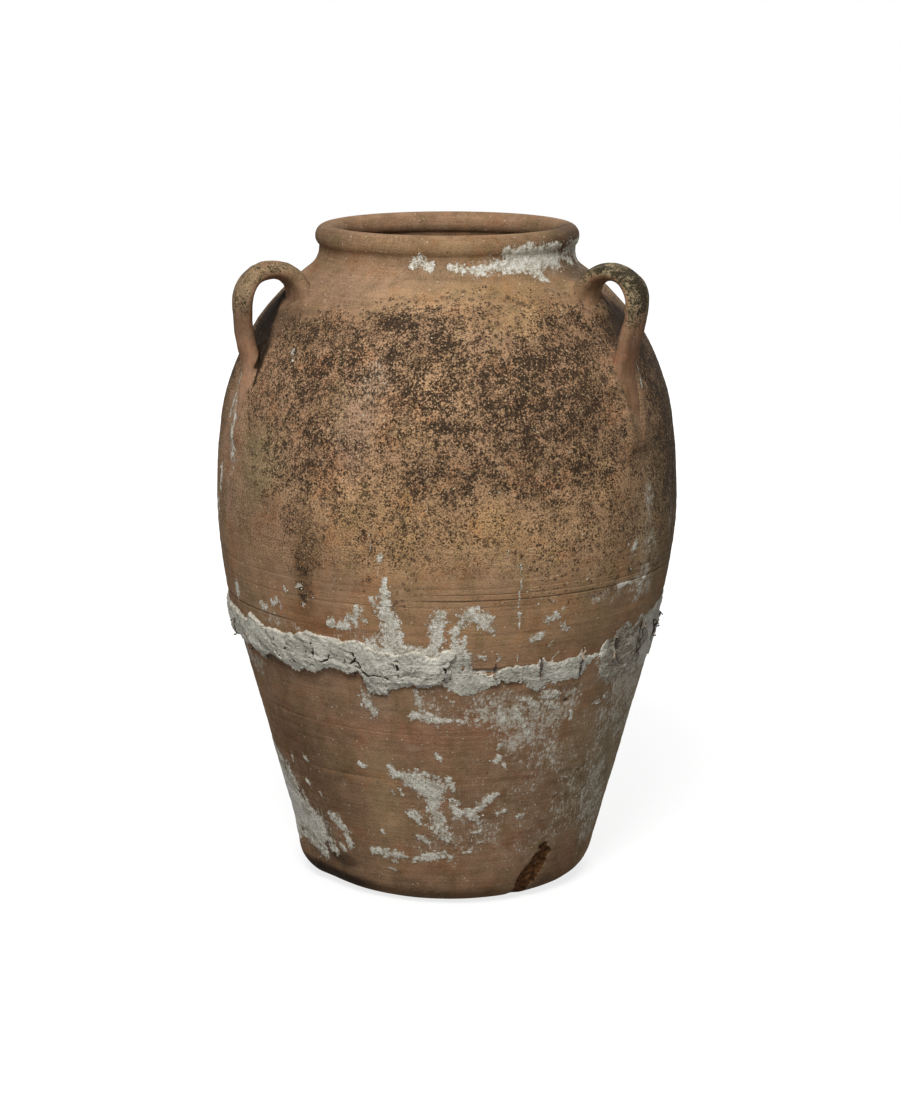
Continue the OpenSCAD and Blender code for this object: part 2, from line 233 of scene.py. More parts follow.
# Dried lime: splashes, tongues and smears
limeStrokes = [
    # tongues and flecks above the band
    (-14, 306, -13.6, 330, 7.5), (-13.8, 330, -14.8, 352, 6.5), (-14.8, 352, -15, 366, 4), (-15, 366, -15, 378, 1.8),
    (-12.4, 318, -11.4, 322, 3), (-15.6, 401, -15.4, 406, 2.4), (-18.4, 357, -17.6, 351, 1.7),
    (-30, 327, -29.4, 333, 2.4), (-27.4, 326, -26, 327, 3), (-25.5, 328, -24.2, 337, 3.4), (-22.8, 332, -21.6, 346, 3),
    (-20.4, 335, -19.6, 333, 1.5), (-53.5, 331, -51.6, 329, 2.2), (-48.2, 336, -46.4, 341, 2.4), (-45.8, 334, -45.4, 332, 1.2),
    (-39, 361, -37.4, 361, 1.7), (-67, 331, -66.5, 341, 3.6), (-43.4, 358, -42.8, 352, 1), (-37.4, 344, -37.2, 342, 1.2),
    (-3.4, 300, -2.4, 320, 5), (-2.4, 320, -2.2, 336, 5.4), (-2.8, 336, -1.4, 344, 4.4), (1.6, 300, 1.8, 326, 2.6),
    (2.2, 326, 3.4, 338, 3.2), (3.8, 340, 6, 345, 5.4), (6, 344, 9.4, 335, 5.6), (9.4, 335, 11, 327, 3.2),
    (4.4, 320, 3, 303, 2), (-8, 300, -4, 303, 6), (-19, 304, -10, 304, 5), (-2, 300, 4, 298, 5),
    (21.3, 315, 23.6, 317, 3), (24.6, 334, 26.6, 336, 2.8), (28.8, 326, 30.2, 321, 2.6), (28.5, 342, 29, 344, 1.1),
    (17.6, 327, 17.4, 346, 0.8), (17.3, 352, 17.2, 380, 0.6), (17.2, 384, 17.3, 400, 0.5), (17.8, 291, 17.7, 298, 0.8),
    (46, 356, 50, 358, 1.6), (50.4, 391, 51.2, 398, 3.2), (48, 398, 48.4, 401, 1.1), (55, 352, 57, 356, 2.2),
    (26.2, 304, 27.4, 312, 1.2), (12.4, 294, 13.4, 296, 1.3), (8, 297, 9.6, 295, 1.5),
    # below the band
    (-22.6, 249, -22.2, 240, 4.2), (-22, 240, -20.6, 230, 3), (-19, 262, -17, 258, 4), (-8.4, 258, -7.6, 244, 1.8),
    (-7.8, 244, -7.4, 236, 1.4), (-9.8, 228, -6, 228, 2.6), (-5.4, 229, -3, 224, 3.6), (-3, 226, 0, 227, 1.8),
    (2.4, 227, 5.6, 225, 1.4), (8, 224, 9.6, 226, 1.2), (13.6, 240, 15.4, 224, 2.2), (18.6, 234, 20, 222, 2.6),
    (20.6, 246, 23, 240, 3), (26.6, 250, 30.4, 246, 4), (28, 240, 30, 232, 3), (21.4, 214, 22.8, 202, 2.2),
    (45, 226, 47.6, 224, 1.6), (49.4, 231, 49.8, 227, 1.2), (36, 222, 37.4, 214, 1.6),
    # the slanting splash on the lower body
    (-17.4, 167, -16, 163, 2.6), (-15.4, 158, -10, 156, 4.4), (-12, 152, -8, 142, 5), (-8.6, 148, -3.6, 146, 6.5),
    (-6.4, 138, -3.6, 136, 6), (-6, 130, -4.6, 126, 3.6), (-4.8, 120, -3.4, 110, 4.6), (-4.2, 108, -2.4, 98, 4.2),
    (-2.6, 96, -0.6, 84, 4.6), (-0.4, 150, 0.2, 156, 2.4), (1.4, 148, 2, 143, 1.8), (-11.6, 112, -9.6, 110, 3),
    (-10, 106, -9.2, 101, 1.6), (-9.4, 84, -6.6, 82, 2.4), (1.4, 132, 3.4, 128, 2.4), (1.6, 120, 3, 112, 2.6),
    (3, 112, 6.4, 117, 3), (6.4, 115, 9.4, 110, 2.8), (9.4, 112, 10.8, 104, 2), (9.4, 118, 11.4, 126, 2.4),
    (11.6, 128, 14.4, 134, 2.6), (14.6, 134, 16.2, 136, 1.8), (16.4, 112, 18.6, 113, 1.9), (23.4, 106, 25.4, 104, 1.9),
    (-9, 164, -8.6, 165, 1.4), (-6.4, 162, -5.4, 158, 1.6), (-3.6, 160, -2.6, 157, 1.4), (13.8, 176, 15.4, 180, 2.2),
    (14.6, 190, 16, 196, 2), (16.6, 172, 17.2, 168, 1.4), (-2.6, 182, -1.6, 180, 1.8), (-15, 140, -14.4, 134, 1.2),
    # near the foot
    (-27.4, 61, -22, 62, 2.6), (-23, 59, -16.4, 60, 3.2), (-16.6, 60, -13.6, 58, 1.4), (-11.6, 56, -6.4, 59, 2.6),
    (-7.4, 61, -2, 65, 2.4), (-5, 60, 2.6, 62, 1.3), (-19.6, 54, -18.6, 52, 1.6), (-22, 44, -18.6, 40, 1),
    (6, 66, 8.4, 67, 1.2), (11, 78, 12, 80, 1), (8.6, 90, 11, 94, 1.2),
    # the broad patch at the left foot
    (-90, 150, -73, 132, 7), (-86, 130, -68, 110, 10), (-80, 116, -66, 96, 12), (-92, 96, -74, 84, 20), (-72, 100, -64, 84, 10),
    (-88, 74, -76, 62, 16), (-76, 84, -64, 72, 13), (-64, 90, -57, 89, 7), (-44.4, 93, -41.6, 92, 3), (-60, 76, -53, 75, 8),
    (-66.5, 128, -63, 112, 5), (-62, 62, -53, 62, 8), (-50, 63, -47, 56, 4), (-41, 86, -38.4, 80, 4), (-39, 77, -37.2, 62, 3),
    (-43, 58, -41, 53, 2.4), (-60, 48, -53, 40, 4), (-66, 52, -58, 44, 5), 
    (-48, 48, -46, 46, 3), (-56, 52, -53, 48, 2.4),
    (-63, 118, -62, 108, 2.2), (-58, 108, -57, 100, 2.6), (-66, 136, -64.6, 124, 1.6), (-51.5, 158, -50, 154, 2.2),
    (-53.6, 128, -52.4, 125, 1.7), (-46.6, 118, -45.6, 113, 1.4), (-60, 148, -59.4, 143, 1.2), (-27.5, 166, -26.4, 163, 1.8),
    (-18, 138, -17.4, 135, 1.1), (-23, 88, -22.6, 86, 1.3), (-40.6, 95, -39.6, 91, 1.4),
    # neck
    (1, 683, 6, 681, 2.6), (5, 681, 14, 679, 3.6), (12, 682, 22, 684, 3.4), (22, 684, 30, 686, 6), (28, 686, 44, 688, 9),
    (30, 694, 52, 694, 6), (35, 681, 40, 674, 5), (40, 673, 42, 667, 1.8), (44, 684, 54, 686, 7), (24, 698, 27, 701, 1.6),
    (34, 702, 38, 703, 2), (48, 700, 56, 699, 2.4), (58, 688, 61, 684, 3), (66, 692, 84, 690, 7), (80, 686, 100, 686, 6),
    (64, 682, 70, 678, 3), (-14, 687, -10, 690, 3.2), (-10.4, 689, -6.6, 686, 3), (-7.6, 684, -6.6, 680, 1.4),
    (-16.6, 682, -15, 681, 1.1), (-5, 690, -4.2, 689, 1),
    # handle tails
    (59.6, 557, 60.4, 565, 1.6), (60.5, 567, 61.2, 582, 0.8), (-66.4, 478, -66, 510, 2.8), (-65.4, 500, -64.6, 524, 1.6),
    (-70, 545, -68.6, 562, 2.6), (-67.6, 552, -67, 566, 1.4), (-71, 566, -70, 574, 1.6), (-71.6, 520, -70.4, 540, 2.2),
    (-75.5, 440, -74.4, 462, 2.6), (-48.6, 600, -47.8, 596, 1.1), (-47.2, 592, -46.6, 588, 0.9), (-79, 400, -78, 424, 2),
    # back and sides
    (104, 326, 112, 316, 6), (135, 318, 139, 346, 5), (160, 245, 163, 225, 6), (168, 330, 172, 322, 4),
    (-140, 322, -136, 334, 6), (-115, 240, -112, 215, 5), (176, 120, 190, 92, 9), (190, 92, 196, 64, 5),
    (-150, 85, -132, 72, 11), (120, 112, 131, 98, 8), (128, 96, 134, 70, 5), (150, 180, 156, 168, 4),
    (-170, 690, -150, 687, 6), (-120, 660, -116, 655, 3), (140, 420, 141, 404, 2), (-128, 150, -124, 138, 5),
]

limeSpread = 0.38          # how much wider the splashes are than their strokes

# Thin brushed wash, seen through in streaks
washPatches = [
    (0, 120, 200, 160, 0.1), (34, 150, 34, 110, 0.22), (14, 236, 9, 26, 0.85), (24, 226, 12, 26, 0.9), (20, 204, 8, 26, 0.75), (33, 238, 8, 22, 0.7), (30, 180, 8, 40, 0.4),
    (-5, 245, 5, 20, 0.6), (4, 236, 8, 20, 0.4), (3, 290, 5, 16, 0.7), (-68, 250, 10, 16, 0.6), (-78, 262, 10, 20, 0.6),
    (48, 266, 7, 24, 0.85), (56, 256, 9, 36, 0.95), (69, 256, 13, 46, 0.98), (84, 250, 16, 50, 0.9),
    (60, 214, 7, 30, 0.75), (70, 190, 10, 40, 0.7), (52, 190, 6, 40, 0.5), (58, 120, 6, 40, 0.8), (56, 98, 9, 40, 0.6), (68, 96, 10, 50, 0.5),
    (62, 62, 9, 30, 0.6), (44, 120, 9, 60, 0.25), (10, 70, 20, 40, 0.18), (6, 100, 14, 36, 0.24), (34, 66, 10, 30, 0.2),
    (-2, 72, 14, 22, 0.3), (-16, 310, 6, 10, 0.8), (-4, 305, 8, 9, 0.8), (6, 352, 6, 12, 0.3), (44, 352, 9, 12, 0.5),
    (56, 350, 7, 22, 0.85), (66, 262, 16, 40, 0.6), (58, 385, 7, 30, 0.5), (57, 440, 3, 40, 0.5), (72, 420, 3, 60, 0.4), (28, 358, 14, 8, 0.3),
    (-52, 322, 8, 12, 0.3), (-24, 322, 7, 12, 0.35), (-19, 572, 5, 36, 0.3), (-82, 370, 8, 40, 0.4), (-70, 100, 16, 46, 0.7), (-45, 314, 9, 7, 0.45), (-27, 313, 8, 5, 0.6), (54, 118, 5, 34, 0.5),
    (66, 244, 12, 34, 0.7), (-68, 110, 7, 40, 0.5),
    (-54, 72, 10, 34, 0.75), (-68, 540, 4, 34, 0.6), (-66, 490, 3, 40, 0.5), (18, 682, 16, 10, 0.7), (44, 686, 26, 20, 0.55),
    (84, 684, 20, 18, 0.6), (120, 260, 30, 40, 0.7), (160, 235, 30, 40, 0.6), (-150, 250, 30, 36, 0.6),
    (-110, 245, 20, 36, 0.55), (160, 90, 30, 40, 0.6), (-140, 80, 26, 40, 0.6), (110, 90, 20, 50, 0.6),
]

lichenPatches = [
    (26, 572, 20, 58, 0.72), (8, 566, 22, 56, 0.55), (-8, 588, 16, 52, 0.64), (-34, 600, 20, 48, 0.62), (-48, 566, 16, 64, 0.5),
    (-34, 540, 12, 50, 0.4), (-4, 512, 18, 54, 0.5), (25, 508, 19, 54, 0.5), (42, 520, 16, 80, 0.55), (-38, 490, 18, 60, 0.4),
    (38, 612, 18, 40, 0.5), (-8, 628, 22, 26, 0.45), (-16, 460, 26, 50, 0.22), (10, 445, 36, 60, 0.14), (36, 410, 20, 70, 0.22),
    (-36.5, 410, 6, 70, 0.28), (-37, 366, 2.6, 44, 0.3), (-14, 400, 10, 70, 0.14), (76, 520, 22, 120, 0.8), (98, 540, 30, 100, 0.75), (62, 440, 14, 90, 0.3),
    (-86, 580, 16, 60, 0.6), (60, 622, 10, 26, 0.6), (140, 560, 46, 90, 0.6), (-140, 570, 56, 90, 0.6), (0, 540, 60, 110, 0.18),
    (-52, 616, 9, 18, 0.6), (-41, 624, 7, 15, 0.6), (-28, 610, 6, 14, 0.45), (-16, 630, 8, 14, 0.6), (-3, 617, 10, 14, 0.5),
    (25, 599, 7, 10, 0.4), (-85, 622, 9, 36, 1.0), (32, 558, 9, 24, 0.5), (10, 530, 7, 22, -0.7), (32, 560, 13, 28, 0.35), (12, 618, 5, 10, 0.4),
    (-23, 619, 5, 12, -0.5), (17, 606, 5, 12, -0.6), (55, 500, 5, 20, -0.5), (53, 590, 5, 16, -0.4), (31, 624, 6, 10, 0.3), (46, 628, 7, 16, 0.7), (70, 560, 7, 60, 0.9), (74, 470, 8, 80, 0.85),
    (-66, 560, 10, 60, 0.12), (180, 470, 50, 80, 0.3), (20, 640, 50, 26, 0.16), (80, 560, 13, 120, 0.85), (58, 612, 12, 32, 0.6), (54, 628, 8, 24, 0.5),
]

# Dark sooty films and damp, and painted shade inside the left loop and on the shoulders beside the handles
stainAndShadePatches = [
    (-36.5, 395, 4, 76, 0.5), (75, 440, 20, 240, 0.3), (60, 28, 40, 36, 0.35), (-60, 20, 30, 26, 0.4), (95, 400, 30, 260, 0.35),
    (-66, 622, 10, 34, 0.35), (-46, 620, 18, 24, 0.35), (62, 620, 10, 34, 0.4), (-176, 430, 60, 200, 0.3), (30, 352, 22, 8, 0.25), (-30, 318, 12, 10, 0.3),
    (78, 550, 13, 120, 0.45), (0, 8, 180, 12, 0.5), (-50, 190, 12, 70, 0.25), (-46, 112, 9, 40, 0.25), (34, 248, 5, 14, 0.3),
]

spallStrokes = [(28.6, 4, 31, 28, 8.5), (30.6, 24, 35.6, 46, 11), (33.6, 42, 37.6, 54, 8), (35.4, 62, 37.2, 64, 3),
                (33.5, 237, 34.3, 236, 2.2), (17.4, 402, 17.8, 404, 1.2), (42.6, 138, 44.6, 148, 0.7), (36.4, 120, 38, 123, 0.9)]

# Painted shade with some sooty grime: soft dark shadows under the handles, inside their loops and in the fold beside
# the left one's tail
shadeAndSootPatches = [(67, 618, 9, 34, 0.44), (58, 608, 9, 20, 0.3), (186, 612, 9, 34, 0.3), (178, 618, 12, 26, 0.25), (-60, 14, 40, 16, 0.5), (-50, 60, 6, 30, 0.35), (-42, 40, 8, 14, 0.4)]
shadedFoldStrokes = [(-75, 632, -72.4, 614, 19), (-72, 612, -69, 598, 14), (-66.4, 604, -63.4, 592, 8),
                 (-62.8, 592, -61.2, 578, 3.8), (-61, 578, -60.2, 558, 1.3)]
# Scuffs with soot in them, below the right handle's root
scuffStrokes = [(44, 642, 56, 618, 0.9), (46, 650, 55, 634, 0.8), (49, 640, 60, 612, 0.8), (52, 648, 63, 622, 1.2),
                (55, 630, 66, 604, 1.4), (58, 624, 66, 598, 1.1), (62, 640, 70, 606, 2.4), (66, 632, 71, 594, 2.6),
                (60, 606, 68, 586, 1.0), (64, 598, 69, 578, 1.4), (50, 624, 57, 606, 0.7), (41, 636, 48, 622, 0.6)]


def toLinear(r, g, b):
    return tuple(((c / 255 + 0.055) / 1.055) ** 2.4 if c > 10 else c / 255 / 12.92 for c in (r, g, b))


# Broad tint patches of the fired clay, some of them painted shade that darkens the mouth and shoulder towards the
# sides: azimuth, height in mm, half sizes in degrees and mm, weight, colour
plainClay = toLinear(149, 118, 91)
tintsAndShade = [
    (0, 690, 90, 40, 0.6, toLinear(150, 120, 90)), (-20, 665, 60, 30, 0.5, toLinear(156, 128, 102)),
    (24, 650, 26, 34, 0.5, toLinear(154, 122, 84)), (12, 432, 9, 30, 0.6, toLinear(158, 124, 82)),
    (-12, 430, 22, 70, 0.5, toLinear(150, 117, 80)), (-52, 480, 12, 54, 0.6, toLinear(134, 118, 88)),
    (-24, 540, 7, 60, 0.6, toLinear(160, 130, 110)), (-18, 572, 6, 40, 0.5, toLinear(172, 142, 118)),
    (-68, 500, 10, 120, 0.6, toLinear(160, 128, 104)), (0, 335, 30, 22, 0.4, toLinear(150, 114, 80)),
    (-36, 330, 12, 20, 0.5, toLinear(142, 100, 68)), (44, 400, 14, 150, 0.5, toLinear(128, 104, 80)),
    (62, 420, 12, 160, 0.6, toLinear(134, 116, 88)), (84, 420, 20, 300, 0.7, toLinear(112, 98, 76)),
    (-86, 420, 14, 200, 0.5, toLinear(128, 112, 88)), (-20, 150, 8, 110, 0.6, toLinear(156, 130, 96)),
    (-52, 170, 14, 80, 0.5, toLinear(126, 98, 74)), (8, 60, 20, 60, 0.3, toLinear(156, 120, 92)),
    (-36, 260, 8, 40, 0.4, toLinear(152, 122, 100)), (44, 160, 14, 110, 0.6, toLinear(136, 118, 90)),
    (70, 150, 20, 150, 0.6, toLinear(140, 124, 98)), (40, 18, 30, 24, 0.4, toLinear(120, 98, 72)),
    (-74, 706, 34, 18, 0.75, toLinear(108, 86, 66)), (76, 706, 34, 18, 0.75, toLinear(92, 74, 56)),
    (68, 668, 18, 20, 0.7, toLinear(98, 82, 64)), (-60, 622, 16, 24, 0.5, toLinear(110, 88, 70)),
    (66, 618, 18, 26, 0.6, toLinear(96, 80, 62)), (-60, 120, 26, 130, 0.6, toLinear(116, 90, 68)),
    (2, 165, 22, 70, 0.3, toLinear(138, 106, 82)), (-12, 456, 30, 30, 0.4, toLinear(170, 136, 102)),
    (72, 706, 30, 20, 0.6, toLinear(76, 60, 46)), (54, 652, 8, 14, 0.7, toLinear(174, 138, 104)),
    (10, 318, 34, 24, 0.5, toLinear(162, 128, 94)), (32, 440, 18, 60, 0.45, toLinear(172, 138, 104)),
    (-18, 430, 16, 60, 0.4, toLinear(164, 130, 92)), (66, 410, 10, 90, 0.5, toLinear(142, 124, 98)),
    (40, 330, 26, 40, 0.35, toLinear(150, 122, 92)), (16, 425, 24, 40, 0.4, toLinear(164, 130, 94)),
    (-35, 120, 10, 120, 0.55, toLinear(118, 92, 70)), (12, 185, 12, 50, 0.4, toLinear(126, 97, 73)),
    (8, 30, 30, 30, 0.4, toLinear(128, 99, 76)), (34, 706, 40, 16, 0.5, toLinear(122, 96, 70)),
    (66, 700, 20, 22, 0.5, toLinear(90, 72, 54)), (130, 420, 50, 300, 0.5, toLinear(134, 110, 84)), (-130, 420, 50, 300, 0.4, toLinear(144, 116, 90)),
    (20, 385, 54, 90, 0.35, toLinear(180, 146, 108)), (25, 345, 8, 18, 0.5, toLinear(184, 150, 112)),
    (40, 470, 7, 24, 0.5, toLinear(184, 150, 112)), (55, 405, 8, 36, 0.6, toLinear(174, 150, 118)),
    (10, 440, 6, 26, 0.4, toLinear(182, 144, 98)), (-20, 470, 8, 26, 0.45, toLinear(176, 140, 106)),
    (-50, 470, 6, 18, 0.4, toLinear(154, 130, 98)), (-65, 440, 8, 30, 0.45, toLinear(174, 142, 114)),
    (-12, 650, 20, 15, 0.55, toLinear(178, 144, 108)), (25, 636, 10, 26, 0.6, toLinear(178, 144, 104)),
    (42, 654, 6, 12, 0.5, toLinear(132, 104, 76)), (44, 668, 12, 10, 0.4, toLinear(136, 110, 84)),
    (70, 668, 18, 14, 0.6, toLinear(92, 76, 58)), (-5, 572, 8, 28, 0.45, toLinear(178, 142, 110)),
    (-65, 556, 5, 16, 0.5, toLinear(180, 142, 114)), (-27, 318, 13, 16, 0.5, toLinear(164, 114, 74)),
    (-20, 345, 8, 22, 0.4, toLinear(170, 132, 94)), (-35, 150, 8, 34, 0.5, toLinear(154, 122, 92)),
    (66, 262, 16, 40, 0.6, toLinear(168, 154, 130)), (-20, 235, 7, 20, 0.5, toLinear(160, 134, 112)),
    (-50, 268, 14, 10, 0.5, toLinear(104, 82, 62)), (10, 95, 9, 40, 0.35, toLinear(106, 82, 62)),
    (-50, 82, 6, 20, 0.4, toLinear(108, 84, 64)), (58, 205, 8, 44, 0.4, toLinear(166, 146, 120)),
    (-20, 200, 20, 30, 0.3, toLinear(150, 112, 92)), (28, 130, 8, 50, 0.3, toLinear(150, 122, 98)),
    (-60, 330, 8, 30, 0.3, toLinear(146, 124, 96)), (-8, 700, 40, 14, 0.3, toLinear(146, 122, 86)),
    (20, 660, 40, 14, 0.4, toLinear(170, 138, 98)), (72, 276, 10, 26, 0.5, toLinear(176, 166, 146)),
    (4, 618, 16, 12, 0.3, toLinear(172, 142, 112)), (-8, 212, 30, 20, 0.35, toLinear(150, 108, 84)),
    (24, 290, 14, 14, 0.3, toLinear(168, 126, 92)), (-4, 560, 30, 60, 0.2, toLinear(176, 142, 104)), (-84, 520, 7, 60, 0.5, toLinear(98, 84, 64)),
    (62, 150, 16, 150, 0.5, toLinear(134, 124, 100)), (-37, 372, 3, 56, 0.55, toLinear(112, 88, 62)), (36, 100, 12, 90, 0.35, toLinear(124, 104, 80)),
    (28, 12, 12, 12, 0.5, toLinear(160, 134, 104)),
    (44, 684, 26, 14, 0.3, toLinear(140, 116, 90)), (40, 654, 8, 12, 0.4, toLinear(134, 106, 80)), (34, 500, 10, 30, 0.3, toLinear(176, 142, 104)),
]


def groundColourAndShade(azimuth, z, base):
    colour = np.tile(np.array(base), azimuth.shape + (1,))
    for turn, height, wide, tall, weight, tint in tintsAndShade:
        away = np.hypot(offAzimuth(azimuth, turn) / wide, (z / mm - height) / tall)
        share = (weight * (1 - smooth(away, 0.3, 1.2)))[..., None]
        colour = colour * (1 - share) + np.array(tint) * share
    return colour


# Mesh helpers

def addPiece(name, points, faces, material, replaced=()):
    mesh = bpy.data.meshes.new(name)
    mesh.from_pydata(points.reshape(-1, 3).tolist(), [], faces)
    mesh.polygons.foreach_set("use_smooth", [True] * len(mesh.polygons))
    mesh.update()
    mesh.materials.append(material)
    piece = bpy.data.objects.new(name, mesh)
    bpy.context.scene.collection.objects.link(piece)
    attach(piece, "root")
    if replaced:
        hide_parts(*replaced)
    print(name, sum(len(f) - 2 for f in faces), "triangles")
    return piece


def storeValues(piece, name, values):
    layer = piece.data.attributes.new(name, "FLOAT", "POINT")
    layer.data.foreach_set("value", np.ascontiguousarray(values.reshape(-1), dtype=np.float32))


def storeColour(piece, name, values):
    layer = piece.data.attributes.new(name, "FLOAT_COLOR", "POINT")
    flat = values.reshape(-1, 3)
    rgba = np.concatenate([flat, np.ones((len(flat), 1))], 1)
    layer.data.foreach_set("color", np.ascontiguousarray(rgba.reshape(-1), dtype=np.float32))


def ringFaces(rows, columns, closed):
    # Faces of a grid that runs round the jar; a closed one also joins its last row to its first
    faces = []
    for i in range(rows if closed else rows - 1):
        low, high = i * columns, (i + 1) % rows * columns
        for j in range(columns):
            k = (j + 1) % columns
            faces.append((low + j, low + k, high + k, high + j))
    return faces


# Shader helpers

def put(tree, kind, inputs=None, **settings):
    node = tree.nodes.new(kind)
    for key, value in settings.items():
        setattr(node, key, value)
    for key, value in (inputs or {}).items():
        if isinstance(value, bpy.types.NodeSocket):
            tree.links.new(value, node.inputs[key])
        else:
            node.inputs[key].default_value = value
    return node


def calc(tree, operation, a, b=0.0, c=0.0):
    return put(tree, "ShaderNodeMath", {0: a, 1: b, 2: c}, operation=operation).outputs[0]


def remap(tree, value, low, high, toLow=0.0, toHigh=1.0):
    node = put(tree, "ShaderNodeMapRange", {"Value": value, "From Min": low, "From Max": high,
                                            "To Min": toLow, "To Max": toHigh},
               interpolation_type="SMOOTHSTEP")
    return node.outputs["Result"]


def mixColour(tree, share, a, b, blend="MIX"):
    node = put(tree, "ShaderNodeMix", data_type="RGBA", blend_type=blend)
    for index, value in ((0, share), (6, a), (7, b)):
        if isinstance(value, bpy.types.NodeSocket):
            tree.links.new(value, node.inputs[index])
        else:
            node.inputs[index].default_value = value if index == 0 else (*value, 1)
    return node.outputs[2]


def noiseAt(tree, place, scale, detail=3.0, rough=0.55):
    node = put(tree, "ShaderNodeTexNoise", {"Vector": place, "Scale": scale, "Detail": detail,
                                            "Roughness": rough})
    return node.outputs["Fac"]


def stretched(tree, place, x, y, z):
    return put(tree, "ShaderNodeMapping", {"Vector": place, "Scale": (x, y, z)}).outputs["Vector"]


def weighted(tree, terms):
    # Sum of value times weight
    total = 0.0
    for value, weight in terms:
        total = calc(tree, "MULTIPLY_ADD", value, weight, total)
    return total


def dots(tree, place, scale, low, high, share):
    # Round specks: one in a cell, in a share of the cells
    cells = put(tree, "ShaderNodeTexVoronoi", {"Vector": place, "Scale": scale}).outputs
    chosen = put(tree, "ShaderNodeSeparateColor", {0: cells["Color"]}).outputs[0]
    spot = remap(tree, cells["Distance"], low, high, 1, 0)
    return calc(tree, "MULTIPLY", spot, calc(tree, "LESS_THAN", chosen, share))


def newGroup(name, inputs, outputs):
    group = bpy.data.node_groups.new(name, "ShaderNodeTree")
    for label, kind, value in inputs:
        socket = group.interface.new_socket(label, in_out="INPUT", socket_type=kind)
        if value is not None:
            socket.default_value = value
    for label, kind in outputs:
        group.interface.new_socket(label, in_out="OUTPUT", socket_type=kind)
    return group, group.nodes.new("NodeGroupInput").outputs, group.nodes.new("NodeGroupOutput").inputs


number, colourKind, vectorKind = "NodeSocketFloat", "NodeSocketColor", "NodeSocketVector"


def tinted(tree, share, colour, tint):
    return mixColour(tree, share, colour, mixColour(tree, 1.0, colour, tint, "MULTIPLY"))


def buildFiredClay():
    # Clay thrown on a wheel: mottled in red, olive and dark, with fine turning lines, pores and pale grit
    tree, given, result = newGroup("firedClay", [
        ("Place", vectorKind, None), ("Ground", colourKind, (0.4, 0.25, 0.15, 1)),
        ("Lines", vectorKind, None), ("Grain", number, 0.3), ("Grit", number, 0.5), ("Soil", number, 0.0)],
        [("Colour", colourKind), ("Height", number)])
    place = given["Place"]
    middle = noiseAt(tree, place, 60, 5, 0.7)
    fine = noiseAt(tree, place, 520, 3, 0.7)
    turned = noiseAt(tree, given["Lines"], 1, 4, 0.7)
    grains = remap(tree, noiseAt(tree, place, 640, 2, 0.6), 0.36, 0.6, -0.5, 0.3)
    lively = remap(tree, given["Grain"], 0.0, 0.6, 0.45, 1.1)
    shade = weighted(tree, [
        (remap(tree, noiseAt(tree, place, 16, 4, 0.6), 0.36, 0.64, -1, 1), 0.1),
        (remap(tree, middle, 0.36, 0.64, -1, 1), 0.11),
        (calc(tree, "MULTIPLY", remap(tree, fine, 0.36, 0.64, -1, 1), lively), 0.11),
        (remap(tree, turned, 0.36, 0.64, -1, 1), 0.09), (calc(tree, "MULTIPLY", grains, given["Grain"]), 1.0)])
    shade = calc(tree, "ADD", shade, 1.0)
    grey = put(tree, "ShaderNodeCombineColor", {0: shade, 1: shade, 2: shade}).outputs[0]
    colour = mixColour(tree, 1.0, given["Ground"], grey, "MULTIPLY")
    shifted = put(tree, "ShaderNodeVectorMath", {0: place, 1: (3.1, 1.7, 0.6)}).outputs[0]
    red = noiseAt(tree, stretched(tree, shifted, 22, 22, 30), 1, 5, 0.65)
    olive = noiseAt(tree, stretched(tree, shifted, 40, 40, 16), 1, 5, 0.68)
    dusty = noiseAt(tree, shifted, 70, 6, 0.75)
    colour = tinted(tree, remap(tree, red, 0.5, 0.64, 0, 0.8), colour, (1.03, 0.9, 0.82))
    colour = tinted(tree, remap(tree, olive, 0.5, 0.64, 0, 1.0), colour, (0.84, 0.88, 0.82))
    colour = mixColour(tree, remap(tree, dusty, 0.52, 0.7, 0, 0.42), colour, toLinear(168, 144, 118))
    pits = calc(tree, "MAXIMUM", dots(tree, place, 230, 0.1, 0.24, 0.07), dots(tree, shifted, 120, 0.07, 0.16, 0.05))
    pale = calc(tree, "MAXIMUM", dots(tree, shifted, 190, 0.1, 0.24, 0.14), dots(tree, place, 110, 0.06, 0.14, 0.1))
    pale = calc(tree, "MULTIPLY", pale, given["Grit"])
    colour = mixColour(tree, calc(tree, "MULTIPLY", pits, 0.62), colour, toLinear(50, 38, 29))
    colour = mixColour(tree, calc(tree, "MULTIPLY", pale, 0.8), colour, toLinear(206, 190, 160))
    # Grime and painted shade darken the clay: in grooves, in folds and under the roll at the mouth
    soil = remap(tree, weighted(tree, [(given["Soil"], 1.0), (middle, 0.5)]), 0.34, 0.8)
    colour = mixColour(tree, calc(tree, "MULTIPLY", soil, 0.95), colour, toLinear(31, 24, 17))
    height = weighted(tree, [(fine, 0.5), (turned, 0.4), (middle, 0.55), (pits, -0.5), (pale, 0.5), (grains, 0.4)])
    tree.links.new(colour, result["Colour"])
    tree.links.new(height, result["Height"])
    return tree


